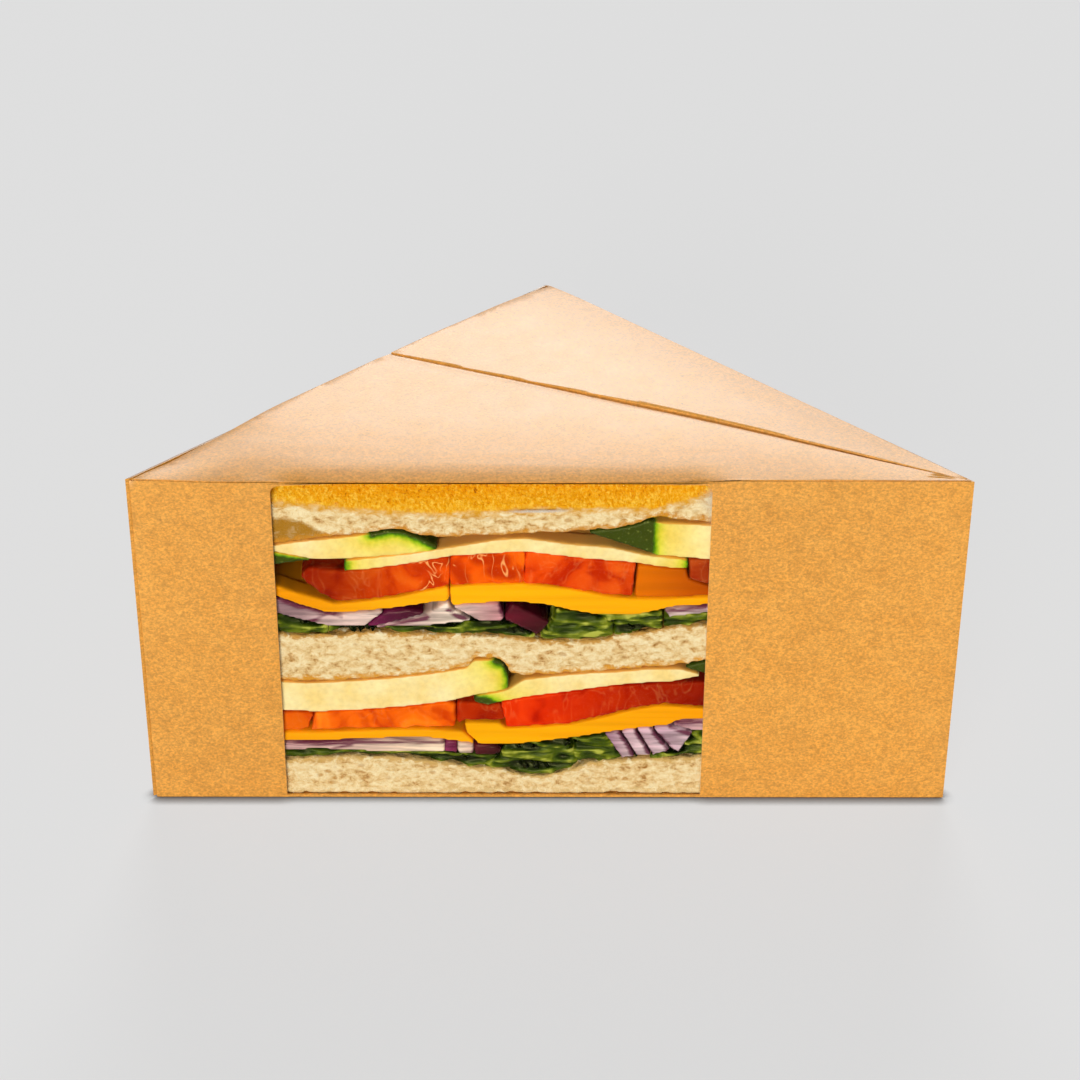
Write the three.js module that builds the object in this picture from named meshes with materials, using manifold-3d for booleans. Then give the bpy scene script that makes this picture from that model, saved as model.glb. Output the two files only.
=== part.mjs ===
// A sandwich wedge box: one folded kraft board carton with a film window and a hinged side,
// holding a three-bread sandwich cut corner to corner. Millimetres, +Z up.
// The origin is the middle of the base's bounding box, and the window faces -Y.
import * as THREE from "three";
import { mergeVertices } from "three/addons/utils/BufferGeometryUtils.js";
import Module from "manifold-3d";

// Carton
const width = 174; // along the windowed front
const height = 82; // at the front fold
const board = 0.5; // thickness of the carton board
const depth = width / 2; // the wedge is half of a square, so its back corner is a right angle
const clearance = 0.3; // gap between pieces that touch
const crown = 1.6; // how far the middle of the top springs up
const crownReach = 26; // distance from a fold at which the top is fully sprung
const cornerAngle = 45; // of the wedge's front corners
const seamAngle = 22.8; // the glued seam, from the front right corner
const lapAngle = 31; // how far the front flap runs on under the back flap
const tuckStart = 21.2; // the front flap bends down here, to pass under the back flap,
const tuckEnd = 23; // and lies fully under it from here
const frontHinge = [0.62, 0.25]; // the front flap fans out from here, left of and behind the corner,
const backHinge = [0.43, 0.13]; // and the back flap from here
const backTip = 0.012; // share of its run at which the back flap's tip is cut off
const glued = 0.1; // the flaps run into each other by this, so that they are one board
const foldDrop = 0.15; // the walls stop this far short of the flaps' outer faces, as at a worn fold
const flapColumns = 24;

// Window and film
const windowLeft = -57.5;
const windowRight = 33.4;
const windowBottom = 0.75;
const windowTop = 80.9; // at its corners
const windowRise = 0.4; // its top edge bows up in the middle
const windowCorner = 2;
const filmThickness = 0.12;
const filmBorder = 6; // glued margin each side of the window
const filmLow = 0.65;
const filmHigh = 81.35;
const glueLine = 0.05;

// Dust flaps, on the left edge of the front flaps
const dustStart = 30; // from the front left corner
const dustEnd = 88;
const dustDrop = 14;
const dustTaper = 5;
const dustSetIn = 0.1; // they hang this much further in than the front flaps' edges
const dustSeat = 0.44; // a dust flap starts this far below the outer face of the flap it hangs from
const dustSteps = 12;

// Lid: the left side, hinged on the front left edge
const lidFoot = 0.4; // its lower edge clears what the box stands on
const tabReach = 18;
const tabLow = 7;
const tabHigh = 75;
const tabTaper = 9;
const tabSlant = 6; // degrees the tuck tab leans towards the hinge

// Sandwich
const cutFace = 1.2; // behind the front of the carton
const crustInset = 4.3; // crust to the outside of the side walls
const sandwichBase = 1.05;
const sandwichTop = 81; // just under the top flaps
const cornerRound = 10; // rounded crust corners
const halfGap = 0.16; // each filling is drawn in by this all round

const fineness = 0.003; // edges shorter than this are dropped when pieces are joined and cut

const front = -depth / 2;
const legSpan = Math.hypot(width / 2, depth);
const degrees = THREE.MathUtils.degToRad;
const wasm = await Module();
wasm.setup();

const finish = {
  kraft: new THREE.MeshStandardMaterial({ color: "#e3a655", roughness: 0.75, metalness: 0 }),
  film: new THREE.MeshStandardMaterial({
    color: "#f4f7f7", roughness: 0.08, metalness: 0, transparent: true, opacity: 0.12,
  }),
  toast: new THREE.MeshStandardMaterial({ color: "#cc8420", roughness: 0.85, metalness: 0 }),
  crumb: new THREE.MeshStandardMaterial({ color: "#e8ca80", roughness: 0.9, metalness: 0 }),
  courgette: new THREE.MeshStandardMaterial({ color: "#f2da74", roughness: 0.4, metalness: 0 }),
  tomato: new THREE.MeshStandardMaterial({ color: "#dc4a0c", roughness: 0.3, metalness: 0 }),
  cheese: new THREE.MeshStandardMaterial({ color: "#f7ab18", roughness: 0.45, metalness: 0 }),
  onion: new THREE.MeshStandardMaterial({ color: "#ddb697", roughness: 0.3, metalness: 0 }),
  onionSkin: new THREE.MeshStandardMaterial({ color: "#5c1723", roughness: 0.35, metalness: 0 }),
  spinach: new THREE.MeshStandardMaterial({ color: "#4b5316", roughness: 0.5, metalness: 0 }),
};

// A three.js geometry as a solid that can be joined and cut.
function solidOf(geometry) {
  const bare = geometry.clone();
  bare.deleteAttribute("normal");
  bare.deleteAttribute("uv");
  const merged = mergeVertices(bare, 1e-4);
  const index = [];
  for (let i = 0; i < merged.index.count; i += 3) {
    const corners = [0, 1, 2].map((k) => merged.index.getX(i + k));
    if (new Set(corners).size === 3) {
      index.push(...corners);
    }
  }
  return new wasm.Manifold(new wasm.Mesh({
    numProp: 3,
    vertProperties: new Float32Array(merged.attributes.position.array),
    triVerts: new Uint32Array(index),
    tolerance: fineness,
  }));
}

function geometryOf(solid) {
  const mesh = solid.getMesh();
  const geometry = new THREE.BufferGeometry();
  geometry.setAttribute("position", new THREE.BufferAttribute(mesh.vertProperties, 3));
  geometry.setIndex(new THREE.BufferAttribute(mesh.triVerts, 1));
  geometry.computeVertexNormals();
  return geometry;
}

function addPiece(name, solid, material) {
  const mesh = new THREE.Mesh(geometryOf(solid), material);
  mesh.name = name;
  box.add(mesh);
}

function shapeOf(points) {
  return new THREE.Shape(points.map(([x, y]) => new THREE.Vector2(x, y)));
}

// An outline on the ground plan, raised from one height to another.
function raised(shape, low, high) {
  const geometry = new THREE.ExtrudeGeometry(shape, {
    depth: high - low, bevelEnabled: false, curveSegments: 8,
  });
  geometry.translate(0, 0, low);
  return solidOf(geometry);
}

// An outline seen from the front, run back from one y to another.
function runBack(shape, near, far) {
  const geometry = new THREE.ExtrudeGeometry(shape, {
    depth: far - near, bevelEnabled: false, curveSegments: 8,
  });
  geometry.rotateX(Math.PI / 2);
  geometry.translate(0, far, 0);
  return solidOf(geometry);
}

// A sheet of board: its outer face is a grid of points, and its thickness runs inward from there.
function sheet(rows, through) {
  const across = rows[0].length;
  const grid = rows.flat();
  const vertices = [...grid, ...grid.map((point) => point.clone().add(through))];
  const under = grid.length;
  const index = [];
  const quad = (a, b, c, d) => index.push(a, b, c, a, c, d);
  for (let i = 0; i + 1 < rows.length; i += 1) {
    for (let j = 0; j + 1 < across; j += 1) {
      const a = i * across + j;
      const b = a + 1;
      const c = b + across;
      const d = a + across;
      quad(a, b, c, d);
      quad(under + d, under + c, under + b, under + a);
    }
  }
  const last = (rows.length - 1) * across;
  for (let j = 0; j + 1 < across; j += 1) {
    quad(j + 1, j, under + j, under + j + 1);
    quad(last + j, last + j + 1, under + last + j + 1, under + last + j);
  }
  for (let i = 0; i + 1 < rows.length; i += 1) {
    const a = i * across;
    const b = a + across;
    quad(a, b, under + b, under + a);
    quad(b + across - 1, a + across - 1, under + a + across - 1, under + b + across - 1);
  }
  const geometry = new THREE.BufferGeometry();
  geometry.setAttribute("position", new THREE.Float32BufferAttribute(
    vertices.flatMap((point) => point.toArray()), 3));
  geometry.setIndex(index);
  return solidOf(geometry);
}

// Ground plan: s runs from the front left corner along the left side, and inward is square to it.
const slope = Math.SQRT1_2;
const onLeft = (s, inward) => [
  -width / 2 + (s + inward) * slope,
  front + (s - inward) * slope,
];

// The flaps fan out from near the front right corner: the front fold is at 0 and the right fold at
// 45 degrees. A point is found by its angle and by its column, from the left edge at 0 to the tip at 1.
const flapEdge = board + clearance;
const fanFrom = ([left, behind], edge, tip) => ({ x: width / 2 - left, y: front + behind, edge, tip });
const frontFan = fanFrom(frontHinge, flapEdge, 0);
const backFan = fanFrom(backHinge, flapEdge + dustSetIn, backTip);
function onFan(fan, angle, column) {
  const share = THREE.MathUtils.lerp(1, fan.tip, column);
  const base = fan.x + width / 2 - (fan.y - front) - fan.edge / slope;
  const run = share * base * slope / Math.sin(degrees(180 - cornerAngle - angle));
  return [
    fan.x - run * Math.cos(degrees(angle)),
    fan.y + run * Math.sin(degrees(angle)),
  ];
}

function spring(x, y) {
  const ease = (distance) => 1 - (1 - Math.min(Math.max(distance, 0) / crownReach, 1)) ** 2;
  const fromFront = y - front;
  const fromRight = (width / 2 - x - (y - front)) * slope;
  return crown * ease(fromFront) * ease(fromRight);
}

// How far the front flap has stepped under the back flap at an angle of the fan.
function step(angle) {
  return board * THREE.MathUtils.clamp((angle - tuckStart) / (tuckEnd - tuckStart), 0, 1);
}

const columns = Array.from({ length: flapColumns + 1 }, (_, i) => i / flapColumns);
const fanRows = (fan, angles, level) => angles.map((angle) => columns.map((column) => {
  const [x, y] = onFan(fan, angle, column);
  return new THREE.Vector3(x, y, level(x, y, angle));
}));

const frontAngles = [0, 1.5, 3, 5, 7.5, 10, 13, 16, 18.5, tuckStart, tuckEnd, 25, 28, lapAngle];
const backAngles = [seamAngle, 25, 28, lapAngle, 34, 37, 39.5, 41.5, 43.5, 45];
const down = new THREE.Vector3(0, 0, -board);

// Front panel and right side. The panel is mitred where the lid's hinge edge meets it.
const mitre = clearance / Math.sin(degrees(cornerAngle / 2));
const mitreRun = board / Math.tan(degrees(cornerAngle / 2));
const walls = shapeOf([
  [-width / 2 + mitre, front],
  [width / 2, front],
  [0, depth / 2],
  [-board * slope, depth / 2 - board * slope],
  [width / 2 - mitreRun, front + board],
  [-width / 2 + mitre + mitreRun, front + board],
]);
const windowShape = new THREE.Shape();
windowShape.moveTo(windowLeft, windowBottom);
windowShape.lineTo(windowRight, windowBottom);
windowShape.lineTo(windowRight, windowTop - windowCorner);
windowShape.quadraticCurveTo(windowRight, windowTop, windowRight - windowCorner, windowTop);
windowShape.quadraticCurveTo(
  (windowLeft + windowRight) / 2, windowTop + 2 * windowRise, windowLeft + windowCorner, windowTop);
windowShape.quadraticCurveTo(windowLeft, windowTop, windowLeft, windowTop - windowCorner);

const dustFace = flapEdge + dustSetIn;
function dustFlap(foldHeight, dropHeight) {
  const turn = (inward, s, z) => {
    const [x, y] = onLeft(s, inward);
    return new THREE.Vector3(x, y, z);
  };
  const steps = Array.from({ length: dustSteps + 1 }, (_, i) => i / dustSteps);
  const fold = steps.map((k) => {
    const s = THREE.MathUtils.lerp(dustStart, dustEnd, k);
    const [x, y] = onLeft(s, dustFace);
    return turn(dustFace, s, foldHeight(x, y));
  });
  const edge = steps.map((k) => turn(
    dustFace, THREE.MathUtils.lerp(dustStart + dustTaper, dustEnd - dustTaper, k), dropHeight));
  const inward = new THREE.Vector3(board * slope, -board * slope, 0);
  return dropHeight < height / 2 ? sheet([edge, fold], inward) : sheet([fold, edge], inward);
}

const underlap = (angle) => step(angle) - (angle >= tuckEnd ? glued : 0);
const topFront = sheet(
  fanRows(frontFan, frontAngles, (x, y, angle) => height + spring(x, y) - underlap(angle)), down);
const topBack = sheet(fanRows(backFan, backAngles, (x, y) => height + spring(x, y)), down);
const baseFront = sheet(
  fanRows(frontFan, frontAngles, (x, y, angle) => board + underlap(angle)), down);
const baseBack = sheet(fanRows(backFan, backAngles, () => board), down);
const topDust = dustFlap((x, y) => height + spring(x, y) - dustSeat, height - dustDrop);
const baseDust = dustFlap(() => dustSeat, dustDrop);

const windowCut = runBack(windowShape, front - board, front + 2 * board);
const carton = raised(walls, foldDrop, height - foldDrop)
  .subtract(windowCut)
  .add(topFront)
  .add(topBack)
  .add(baseFront)
  .add(baseBack)
  .add(topDust)
  .add(baseDust);

const box = new THREE.Group();
addPiece("carton", carton, finish.kraft);

// Film window, glued behind the front panel.
const film = shapeOf([
  [windowLeft - filmBorder, filmLow],
  [windowRight + filmBorder, filmLow],
  [windowRight + filmBorder, filmHigh],
  [windowLeft - filmBorder, filmHigh],
]);
const filmFront = front + board + glueLine;
addPiece("window_film", runBack(film, filmFront, filmFront + filmThickness), finish.film);

// Lid, with its tuck tab folded in behind the right side.
const lidEnd = legSpan - board - clearance;
const lidPanel = shapeOf([
  onLeft(0, 0),
  onLeft(mitreRun, board),
  onLeft(lidEnd, board),
  onLeft(lidEnd, 0),
]);
const tabShape = shapeOf([
  [0, tabLow - tabTaper / 2],
  [tabReach, tabLow + tabTaper],
  [tabReach, tabHigh - tabTaper],
  [0, tabHigh + tabTaper / 2],
]);
const tabGeometry = new THREE.ExtrudeGeometry(tabShape, { depth: board, bevelEnabled: false });
tabGeometry.rotateX(Math.PI / 2);
tabGeometry.rotateZ(degrees(-45 - tabSlant));
const [tabX, tabY] = onLeft(lidEnd, board / 4);
tabGeometry.translate(tabX, tabY, 0);
addPiece("lid", raised(lidPanel, lidFoot, height - board / 4).add(solidOf(tabGeometry)), finish.kraft);

// Ground plan of the sandwich, drawn in from the crust by a given amount.
function footprint(inset) {
  const near = front + cutFace;
  const side = depth / 2 - (crustInset + inset) / slope;
  const tip = side - near;
  const shape = new THREE.Shape();
  shape.moveTo(-tip + cornerRound, near);
  shape.lineTo(tip - cornerRound, near);
  shape.quadraticCurveTo(tip, near, tip - cornerRound * slope, near + cornerRound * slope);
  shape.lineTo(cornerRound * slope, side - cornerRound * slope);
  shape.quadraticCurveTo(0, side, -cornerRound * slope, side - cornerRound * slope);
  shape.lineTo(-tip + cornerRound * slope, near + cornerRound * slope);
  shape.quadraticCurveTo(-tip, near, -tip + cornerRound, near);
  return raised(shape, sandwichBase, sandwichTop);
}

// An outline drawn in by the same distance along every side.
function drawnIn(points, distance) {
  const turn = THREE.ShapeUtils.area(points.map(([x, y]) => new THREE.Vector2(x, y))) > 0 ? 1 : -1;
  return points.map((point, i) => {
    const before = points.at(i - 1);
    const after = points[(i + 1) % points.length];
    const normal = (a, b) => {
      const length = Math.hypot(b[0] - a[0], b[1] - a[1]);
      return [(a[1] - b[1]) * turn / length, (b[0] - a[0]) * turn / length];
    };
    const [ax, ay] = normal(before, point);
    const [bx, by] = normal(point, after);
    const share = distance / Math.max(1 + ax * bx + ay * by, 0.25);
    return [point[0] + (ax + bx) * share, point[1] + (ay + by) * share];
  });
}

// A slice of the sandwich: its outline on the cut face, run back through the whole wedge.
function addSlice(name, material, inset, outline) {
  const slice = runBack(shapeOf(drawnIn(outline, halfGap)), front, depth / 2);
  addPiece(name, slice.intersect(footprint(inset)), material);
}

// Breads. Their faces dip and swell where the fillings press into them.
const toastUnderside = [
  [80, 69], [50, 70], [33.1, 70.4], [23.6, 71.5], [21, 71.3], [17.2, 69.8], [12.5, 68.9], [3.3, 68.2],
  [-10.4, 67.3], [-22, 66.7], [-26.8, 67.2], [-31, 68.6], [-33.8, 68.6], [-38, 67.7], [-48.5, 66.5],
  [-58, 65], [-80, 64.5],
];
const middleTop = [
  [-80, 42.6], [-58, 42.5], [-51.7, 41.9], [-38.8, 42.5], [-19.2, 42.2], [-10.5, 41.6], [-4.9, 41.2],
  [1.5, 40.6], [8.7, 40.6], [14.6, 41.8], [24.3, 43.6], [33.4, 44.8], [80, 45],
];
const middleUnderside = [
  [80, 36], [33.7, 35.5], [27.2, 34.5], [21.2, 33.7], [8.1, 32.6], [-4.9, 31.7], [-8.4, 32], [-9.6, 34.9],
  [-10.5, 36], [-16.1, 35.9], [-17.9, 33.8], [-22.6, 32.6], [-29.2, 31.5], [-42.3, 30.5], [-52.3, 29.9],
  [-58, 30.3], [-80, 30.3],
];
const bottomTop = [
  [-80, 9.4], [-56.9, 9], [-49.8, 9.5], [-33, 9.5], [-28, 8.7], [-21.4, 7.6], [-16.4, 6.7],
  [-10.7, 6.2], [-6.7, 5], [-4, 4.3], [0.1, 4.7], [5.8, 6.7], [8.4, 7.9], [14.1, 8.6], [21.8, 9],
  [33.2, 9.6], [80, 10],
];
addSlice("bread_top", finish.toast, 0, [
  [-80, 76], [-57, 75.7], [-45, 74.4], [-28, 72.9], [-20, 72.8], [-4, 73.9], [14, 74.1], [22, 74],
  [29, 76.2], [33, 78], [50, 78.4], [80, 77], ...toastUnderside,
]);
addSlice("bread_middle", finish.crumb, 0, [...middleTop, ...middleUnderside]);
addSlice("bread_bottom", finish.crumb, 0, [[-80, 0], ...bottomTop, [80, 0]]);

// Upper filling: grilled courgette on tomato, cheese, red onion and spinach.
addSlice("courgette_upper_left", finish.courgette, 2, [
  [-72, 64.4], [-58, 64.6], [-52.4, 65.6], [-44.4, 66.5], [-38, 67.4], [-33.8, 68.2], [-30.5, 68.1],
  [-26.8, 66.4], [-22.5, 64], [-25.4, 63.2], [-31.7, 62.3], [-38.2, 61.7], [-46.8, 61.1], [-49.5, 61.2],
  [-54.1, 62.3], [-58, 63.2], [-72, 63],
]);
addSlice("courgette_upper_back", finish.courgette, 3, [
  [-72, 62.9], [-58, 63.1], [-54.1, 62.2], [-49.5, 61.1], [-52.6, 60.7], [-58, 59.8], [-72, 59.6],
]);
addSlice("courgette_upper_long", finish.courgette, 4, [
  [-43, 60.8], [-38.2, 61.5], [-28.5, 62.7], [-22.5, 63.9], [-10.4, 66.2], [-4.9, 66.5], [4.6, 65],
  [12.6, 64.3], [20.5, 62.3], [29, 61.2], [29, 59], [24, 59.3], [17.4, 60.5], [7.8, 61.4], [-4.9, 63.1],
  [-10.4, 62.8], [-20.6, 62], [-31.7, 59.7], [-38.3, 58.7], [-43, 58.3],
]);
addSlice("courgette_upper_right", finish.courgette, 2, [
  [7.4, 68.3], [13.1, 68.7], [17.2, 69.6], [20.7, 70.9], [22.3, 70.4], [33.1, 69.8], [64, 69], [64, 61.4],
  [33.1, 61.3], [22.2, 62.4], [20.9, 63], [15, 65.3], [10.2, 67.1],
]);
addSlice("tomato_upper_left", finish.tomato, 3, [
  [-50.6, 58.9], [-43, 58.1], [-38.3, 58.6], [-31.7, 59.6], [-20.8, 61.8], [-21, 54.5], [-27.8, 53.1],
  [-31.9, 52.1], [-38.5, 51], [-44.6, 50.4], [-48.1, 52.3], [-52.4, 56.7],
]);
addSlice("tomato_upper_middle", finish.tomato, 2, [
  [-20.8, 61.8], [-14.6, 62.5], [-5, 63.1], [-5.4, 55.2], [-14.6, 55], [-21, 54.5],
]);
addSlice("tomato_upper_right", finish.tomato, 3, [
  [-5, 63.1], [7.8, 61.4], [18.1, 60.2], [17.5, 52], [12.7, 52.1], [5, 53.9], [-5.4, 55.2],
]);
addSlice("tomato_upper_far", finish.tomato, 4, [
  [29.1, 61], [33.1, 61.1], [62, 61], [62, 55], [33.3, 54.9], [29.5, 56.4],
]);
addSlice("cheese_upper_fold", finish.cheese, 5, [
  [18.6, 60], [24, 59], [28.7, 58.8], [29.1, 56.3], [33.3, 54.6], [46, 54.4], [46, 52.4], [33.4, 52.2],
  [24.2, 51.7], [18, 51.9],
]);
addSlice("cheese_upper_left", finish.cheese, 1.5, [
  [-73, 55], [-58, 54.8], [-53, 52.6], [-48.2, 51.1], [-45.6, 50], [-44.2, 50], [-38.5, 50.7],
  [-31.9, 51.7], [-25.6, 53.3], [-21.2, 54.4], [-21, 50.8], [-25.6, 50.2], [-32, 49], [-38.6, 48.2],
  [-44.1, 47.6], [-47.3, 47.8], [-53.1, 49.9], [-58, 52.1], [-73, 52.4],
]);
addSlice("cheese_upper_right", finish.cheese, 1, [
  [-20.9, 54.3], [-14.6, 54.9], [-5.4, 55.1], [-0.1, 54.5], [4.7, 53.7], [12.8, 51.9], [17, 51.4],
  [24.2, 51.3], [33.4, 51.9], [73, 52], [73, 50], [33.5, 49.9], [25.7, 49.3], [22.6, 48.3], [17.7, 47.1],
  [9.9, 47.3], [4.8, 48.3], [-0.1, 49.7], [-5.6, 50.4], [-10.4, 50.5], [-15.9, 50], [-20.8, 49.6],
]);
addSlice("onion_upper_1", finish.onion, 4, [
  [-66, 51.4], [-58, 51.6], [-53.1, 49.6], [-47.3, 47.5], [-44.1, 47.3], [-34.7, 48.2], [-39, 44.3],
  [-47.4, 44.3], [-50.8, 45.3], [-58, 47.5], [-66, 47.8],
]);
addSlice("onion_upper_2", finish.onionSkin, 5, [
  [-38.8, 44.3], [-34.4, 48.1], [-29.5, 48.4], [-25.7, 47.6], [-32.1, 45.5], [-37.4, 44],
]);
addSlice("onion_upper_3", finish.onion, 4, [
  [-37, 44], [-25.7, 47.4], [-21, 50.6], [-21.1, 48.9], [-16, 45.6], [-25.8, 44.3],
]);
addSlice("onion_upper_4", finish.onion, 6, [
  [-20.7, 49.3], [-15.9, 49.8], [-10.6, 50], [-9.6, 46.9], [-9.9, 45.4], [-14.7, 45.4],
]);
addSlice("onion_upper_5", finish.onionSkin, 4, [
  [-9.4, 46.8], [-7.9, 49.9], [0.1, 45.1], [-2.4, 41.9], [-9.6, 46],
]);
addSlice("onion_upper_6", finish.onion, 5, [
  [24.2, 48.4], [33.5, 49.6], [60, 49.6], [60, 47.8], [33.4, 47.7], [25.6, 46.6],
]);
addSlice("spinach_upper_left", finish.spinach, 0.5, [
  [-74, 42.9], [-58.1, 42.8], [-51.7, 42.2], [-47, 42.5], [-47.1, 44], [-51, 44.9], [-58, 47.2],
  [-74, 47.5],
]);
addSlice("spinach_upper_middle", finish.spinach, 2, [
  [-46.8, 42.6], [-38.8, 42.8], [-19.2, 42.5], [-10.5, 41.9], [-4.9, 41.5], [-2.9, 41.4], [-6, 43.6],
  [-10.2, 45], [-14.8, 45], [-16, 45.2], [-25.8, 44], [-37, 43.7], [-46.8, 43.9],
]);
addSlice("spinach_upper_fold", finish.spinach, 1, [
  [-1.9, 41.1], [1.5, 40.9], [8.7, 40.9], [13.5, 41.9], [13.6, 45.3], [8, 47.3], [3, 48.2], [1.4, 47.6],
  [0.6, 44.6],
]);
addSlice("spinach_upper_right", finish.spinach, 1.5, [
  [13.9, 42], [24, 43.9], [24, 46.4], [23.4, 47.9], [18, 46.8], [9.5, 47], [13.9, 45.6],
]);
addSlice("spinach_upper_far", finish.spinach, 1, [
  [24.4, 43.9], [33.4, 45.1], [74, 45.3], [74, 47.4], [33.4, 47.4], [25.6, 46.2], [24.4, 46.3],
]);

// Lower filling, in the same order from the middle bread down.
addSlice("courgette_lower_left", finish.courgette, 2, [
  [-72, 30], [-58, 29.9], [-52.3, 29.4], [-42.4, 30], [-34.2, 30.7], [-26, 31.8], [-17.6, 33.4],
  [-15.9, 35.4], [-11, 35.6], [-9.8, 34.5], [-8.7, 31.5], [-8.8, 28.1], [-10.6, 27.4], [-16.2, 26.2],
  [-21.2, 24.7], [-29.4, 23.4], [-39.4, 22.4], [-49.3, 21.8], [-58, 22.1], [-72, 22],
]);
addSlice("courgette_lower_right", finish.courgette, 3, [
  [-16.2, 25.9], [-10.6, 27.1], [-8.6, 27.8], [-5.2, 30.4], [1.6, 31.4], [8.1, 32.1], [14.8, 32.5],
  [21.2, 33.2], [27.9, 33.3], [33.2, 31.6], [26.2, 29.8], [21.3, 29.6], [14.9, 29], [8.2, 27.9],
  [1.6, 26.8], [-4.9, 25.8], [-10.3, 24.5], [-13, 23.6], [-16.2, 24.4],
]);
addSlice("courgette_lower_far", finish.courgette, 4, [
  [28.8, 33.8], [33.4, 35.2], [66, 35.6], [66, 32], [33.5, 32.1], [30.2, 33.2],
]);
addSlice("tomato_lower_left", finish.tomato, 4, [
  [-70, 21.6], [-57.6, 21.6], [-50.9, 21.2], [-52.1, 17.3], [-54.5, 16.5], [-70, 16.5],
]);
addSlice("tomato_lower_middle", finish.tomato, 3, [
  [-50.7, 21.3], [-42.6, 21.9], [-32.6, 22.8], [-22.1, 24.1], [-20.1, 23.8], [-20.2, 17.4],
  [-29.5, 17.4], [-39.5, 17.3], [-51.6, 16.7],
]);
addSlice("tomato_lower_back", finish.tomato, 7, [
  [-19.9, 24.2], [-16.4, 24.2], [-13, 23.3], [-10.5, 24], [-9.4, 19.2], [-18.2, 19.2], [-19.9, 18],
]);
addSlice("tomato_lower_right", finish.tomato, 3, [
  [-10.3, 24.2], [-4.9, 25.6], [5, 27.2], [11.5, 28.2], [18.1, 29], [24.7, 29.3], [33.6, 29.5],
  [64, 29.4], [64, 23.2], [33.8, 23], [24.8, 23.8], [18.2, 22.6], [11.6, 20.5], [5, 18.8], [-1.7, 17.9],
  [-9.2, 17.7],
]);
addSlice("cheese_lower_left", finish.cheese, 1.5, [
  [-73, 16.3], [-52, 16.3], [-49.6, 16.2], [-42.8, 16.6], [-32.8, 17.1], [-26.3, 17.1], [-18.6, 16.4],
  [-15.8, 13.2], [-21.3, 14.1], [-26.3, 14.8], [-32.8, 14.8], [-42.9, 14.4], [-49.7, 13.9], [-73, 13.9],
]);
addSlice("cheese_lower_right", finish.cheese, 1, [
  [-18.2, 18.9], [-10.6, 18.7], [-9.3, 17.3], [-1.7, 17.7], [5, 18.5], [11.6, 20.2], [18.2, 22.3],
  [24.2, 23.5], [33.5, 22.7], [73, 22.6], [73, 19.9], [33.6, 19.9], [27.9, 19.6], [25.9, 18.2],
  [18.3, 17.3], [11.7, 16.1], [5.1, 14.8], [-1.7, 13.8], [-8.3, 12.9], [-15, 12.9], [-18, 16.4],
]);
addSlice("onion_lower_1", finish.onion, 4, [
  [-66, 13.5], [-49.7, 13.6], [-42.9, 14.1], [-32.8, 14.5], [-26.3, 14.5], [-22.6, 14], [-22.7, 10.8],
  [-34.7, 10.9], [-43, 11.2], [-50.4, 11.7], [-57, 11.3], [-66, 11.4],
]);
addSlice("onion_lower_2", finish.onionSkin, 5, [
  [-22.6, 14], [-21.3, 13.9], [-19.9, 13.6], [-19.9, 10.6], [-22.7, 10.8],
]);
addSlice("onion_lower_3", finish.onion, 4, [[-19.9, 13.6], [-16.3, 12.9], [-16.3, 10.2], [-19.9, 10.5]]);
addSlice("onion_lower_4", finish.onionSkin, 5, [
  [-16.3, 12.9], [-11.9, 12.7], [-10.3, 11.9], [-10.3, 10.4], [-12, 10.1], [-16.3, 10.2],
]);
const fan = [
  [[12, 15.9], [15.3, 16.6], [18.9, 9.7], [16.1, 9.2], [13, 14.6]],
  [[15.8, 16.6], [18.6, 17.2], [22.4, 10.1], [19.3, 9.8]],
  [[19.1, 17.3], [22, 17.6], [26.6, 11.3], [22.9, 10.1]],
  [[22.6, 17.5], [26.2, 18.1], [31.4, 16.3], [28.4, 10.8], [27, 11.6]],
];
fan.forEach((outline, i) => addSlice(`onion_lower_${i + 5}`, finish.onion, 6, outline));
addSlice("onion_lower_9", finish.onion, 5, [
  [27, 18.3], [28.4, 19.4], [33.6, 19.6], [62, 19.6], [62, 16.8], [33.5, 16.7], [31.6, 16.6],
]);
addSlice("spinach_lower_left", finish.spinach, 0.5, [
  [-74, 9.7], [-56.9, 9.3], [-49.8, 9.8], [-33, 9.8], [-28, 9], [-21.4, 7.9], [-15.6, 6.9],
  [-10.4, 9.6], [-12, 9.8], [-16.4, 9.9], [-22.6, 10.5], [-34.7, 10.6], [-43, 10.9], [-50.4, 11.3],
  [-57, 11], [-74, 11.2],
]);
addSlice("spinach_lower_middle", finish.spinach, 2, [
  [-15, 6.9], [-10.7, 6.5], [-6.7, 5.3], [-4, 4.6], [0.1, 5], [5.8, 7], [6.4, 8], [4, 14.2],
  [-1.7, 13.5], [-8.3, 12.6], [-9.9, 12.6], [-9.9, 9.7],
]);
addSlice("spinach_lower_right", finish.spinach, 1, [
  [6.6, 7.6], [8.4, 8.2], [14.1, 8.9], [16.6, 8.9], [12.6, 14.4], [11.6, 15.6], [5.1, 14.4],
]);
addSlice("spinach_lower_far", finish.spinach, 1, [
  [17, 8.9], [21.8, 9.3], [33.2, 9.9], [74, 10.3], [74, 15.8], [33.5, 16.4], [31.8, 16.3],
  [28.7, 10.4], [26.9, 11.1], [22.8, 9.8], [19.2, 9.4],
]);

export default box;
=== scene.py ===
import math

import bpy
from mathutils import Matrix, Vector, noise


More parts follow.
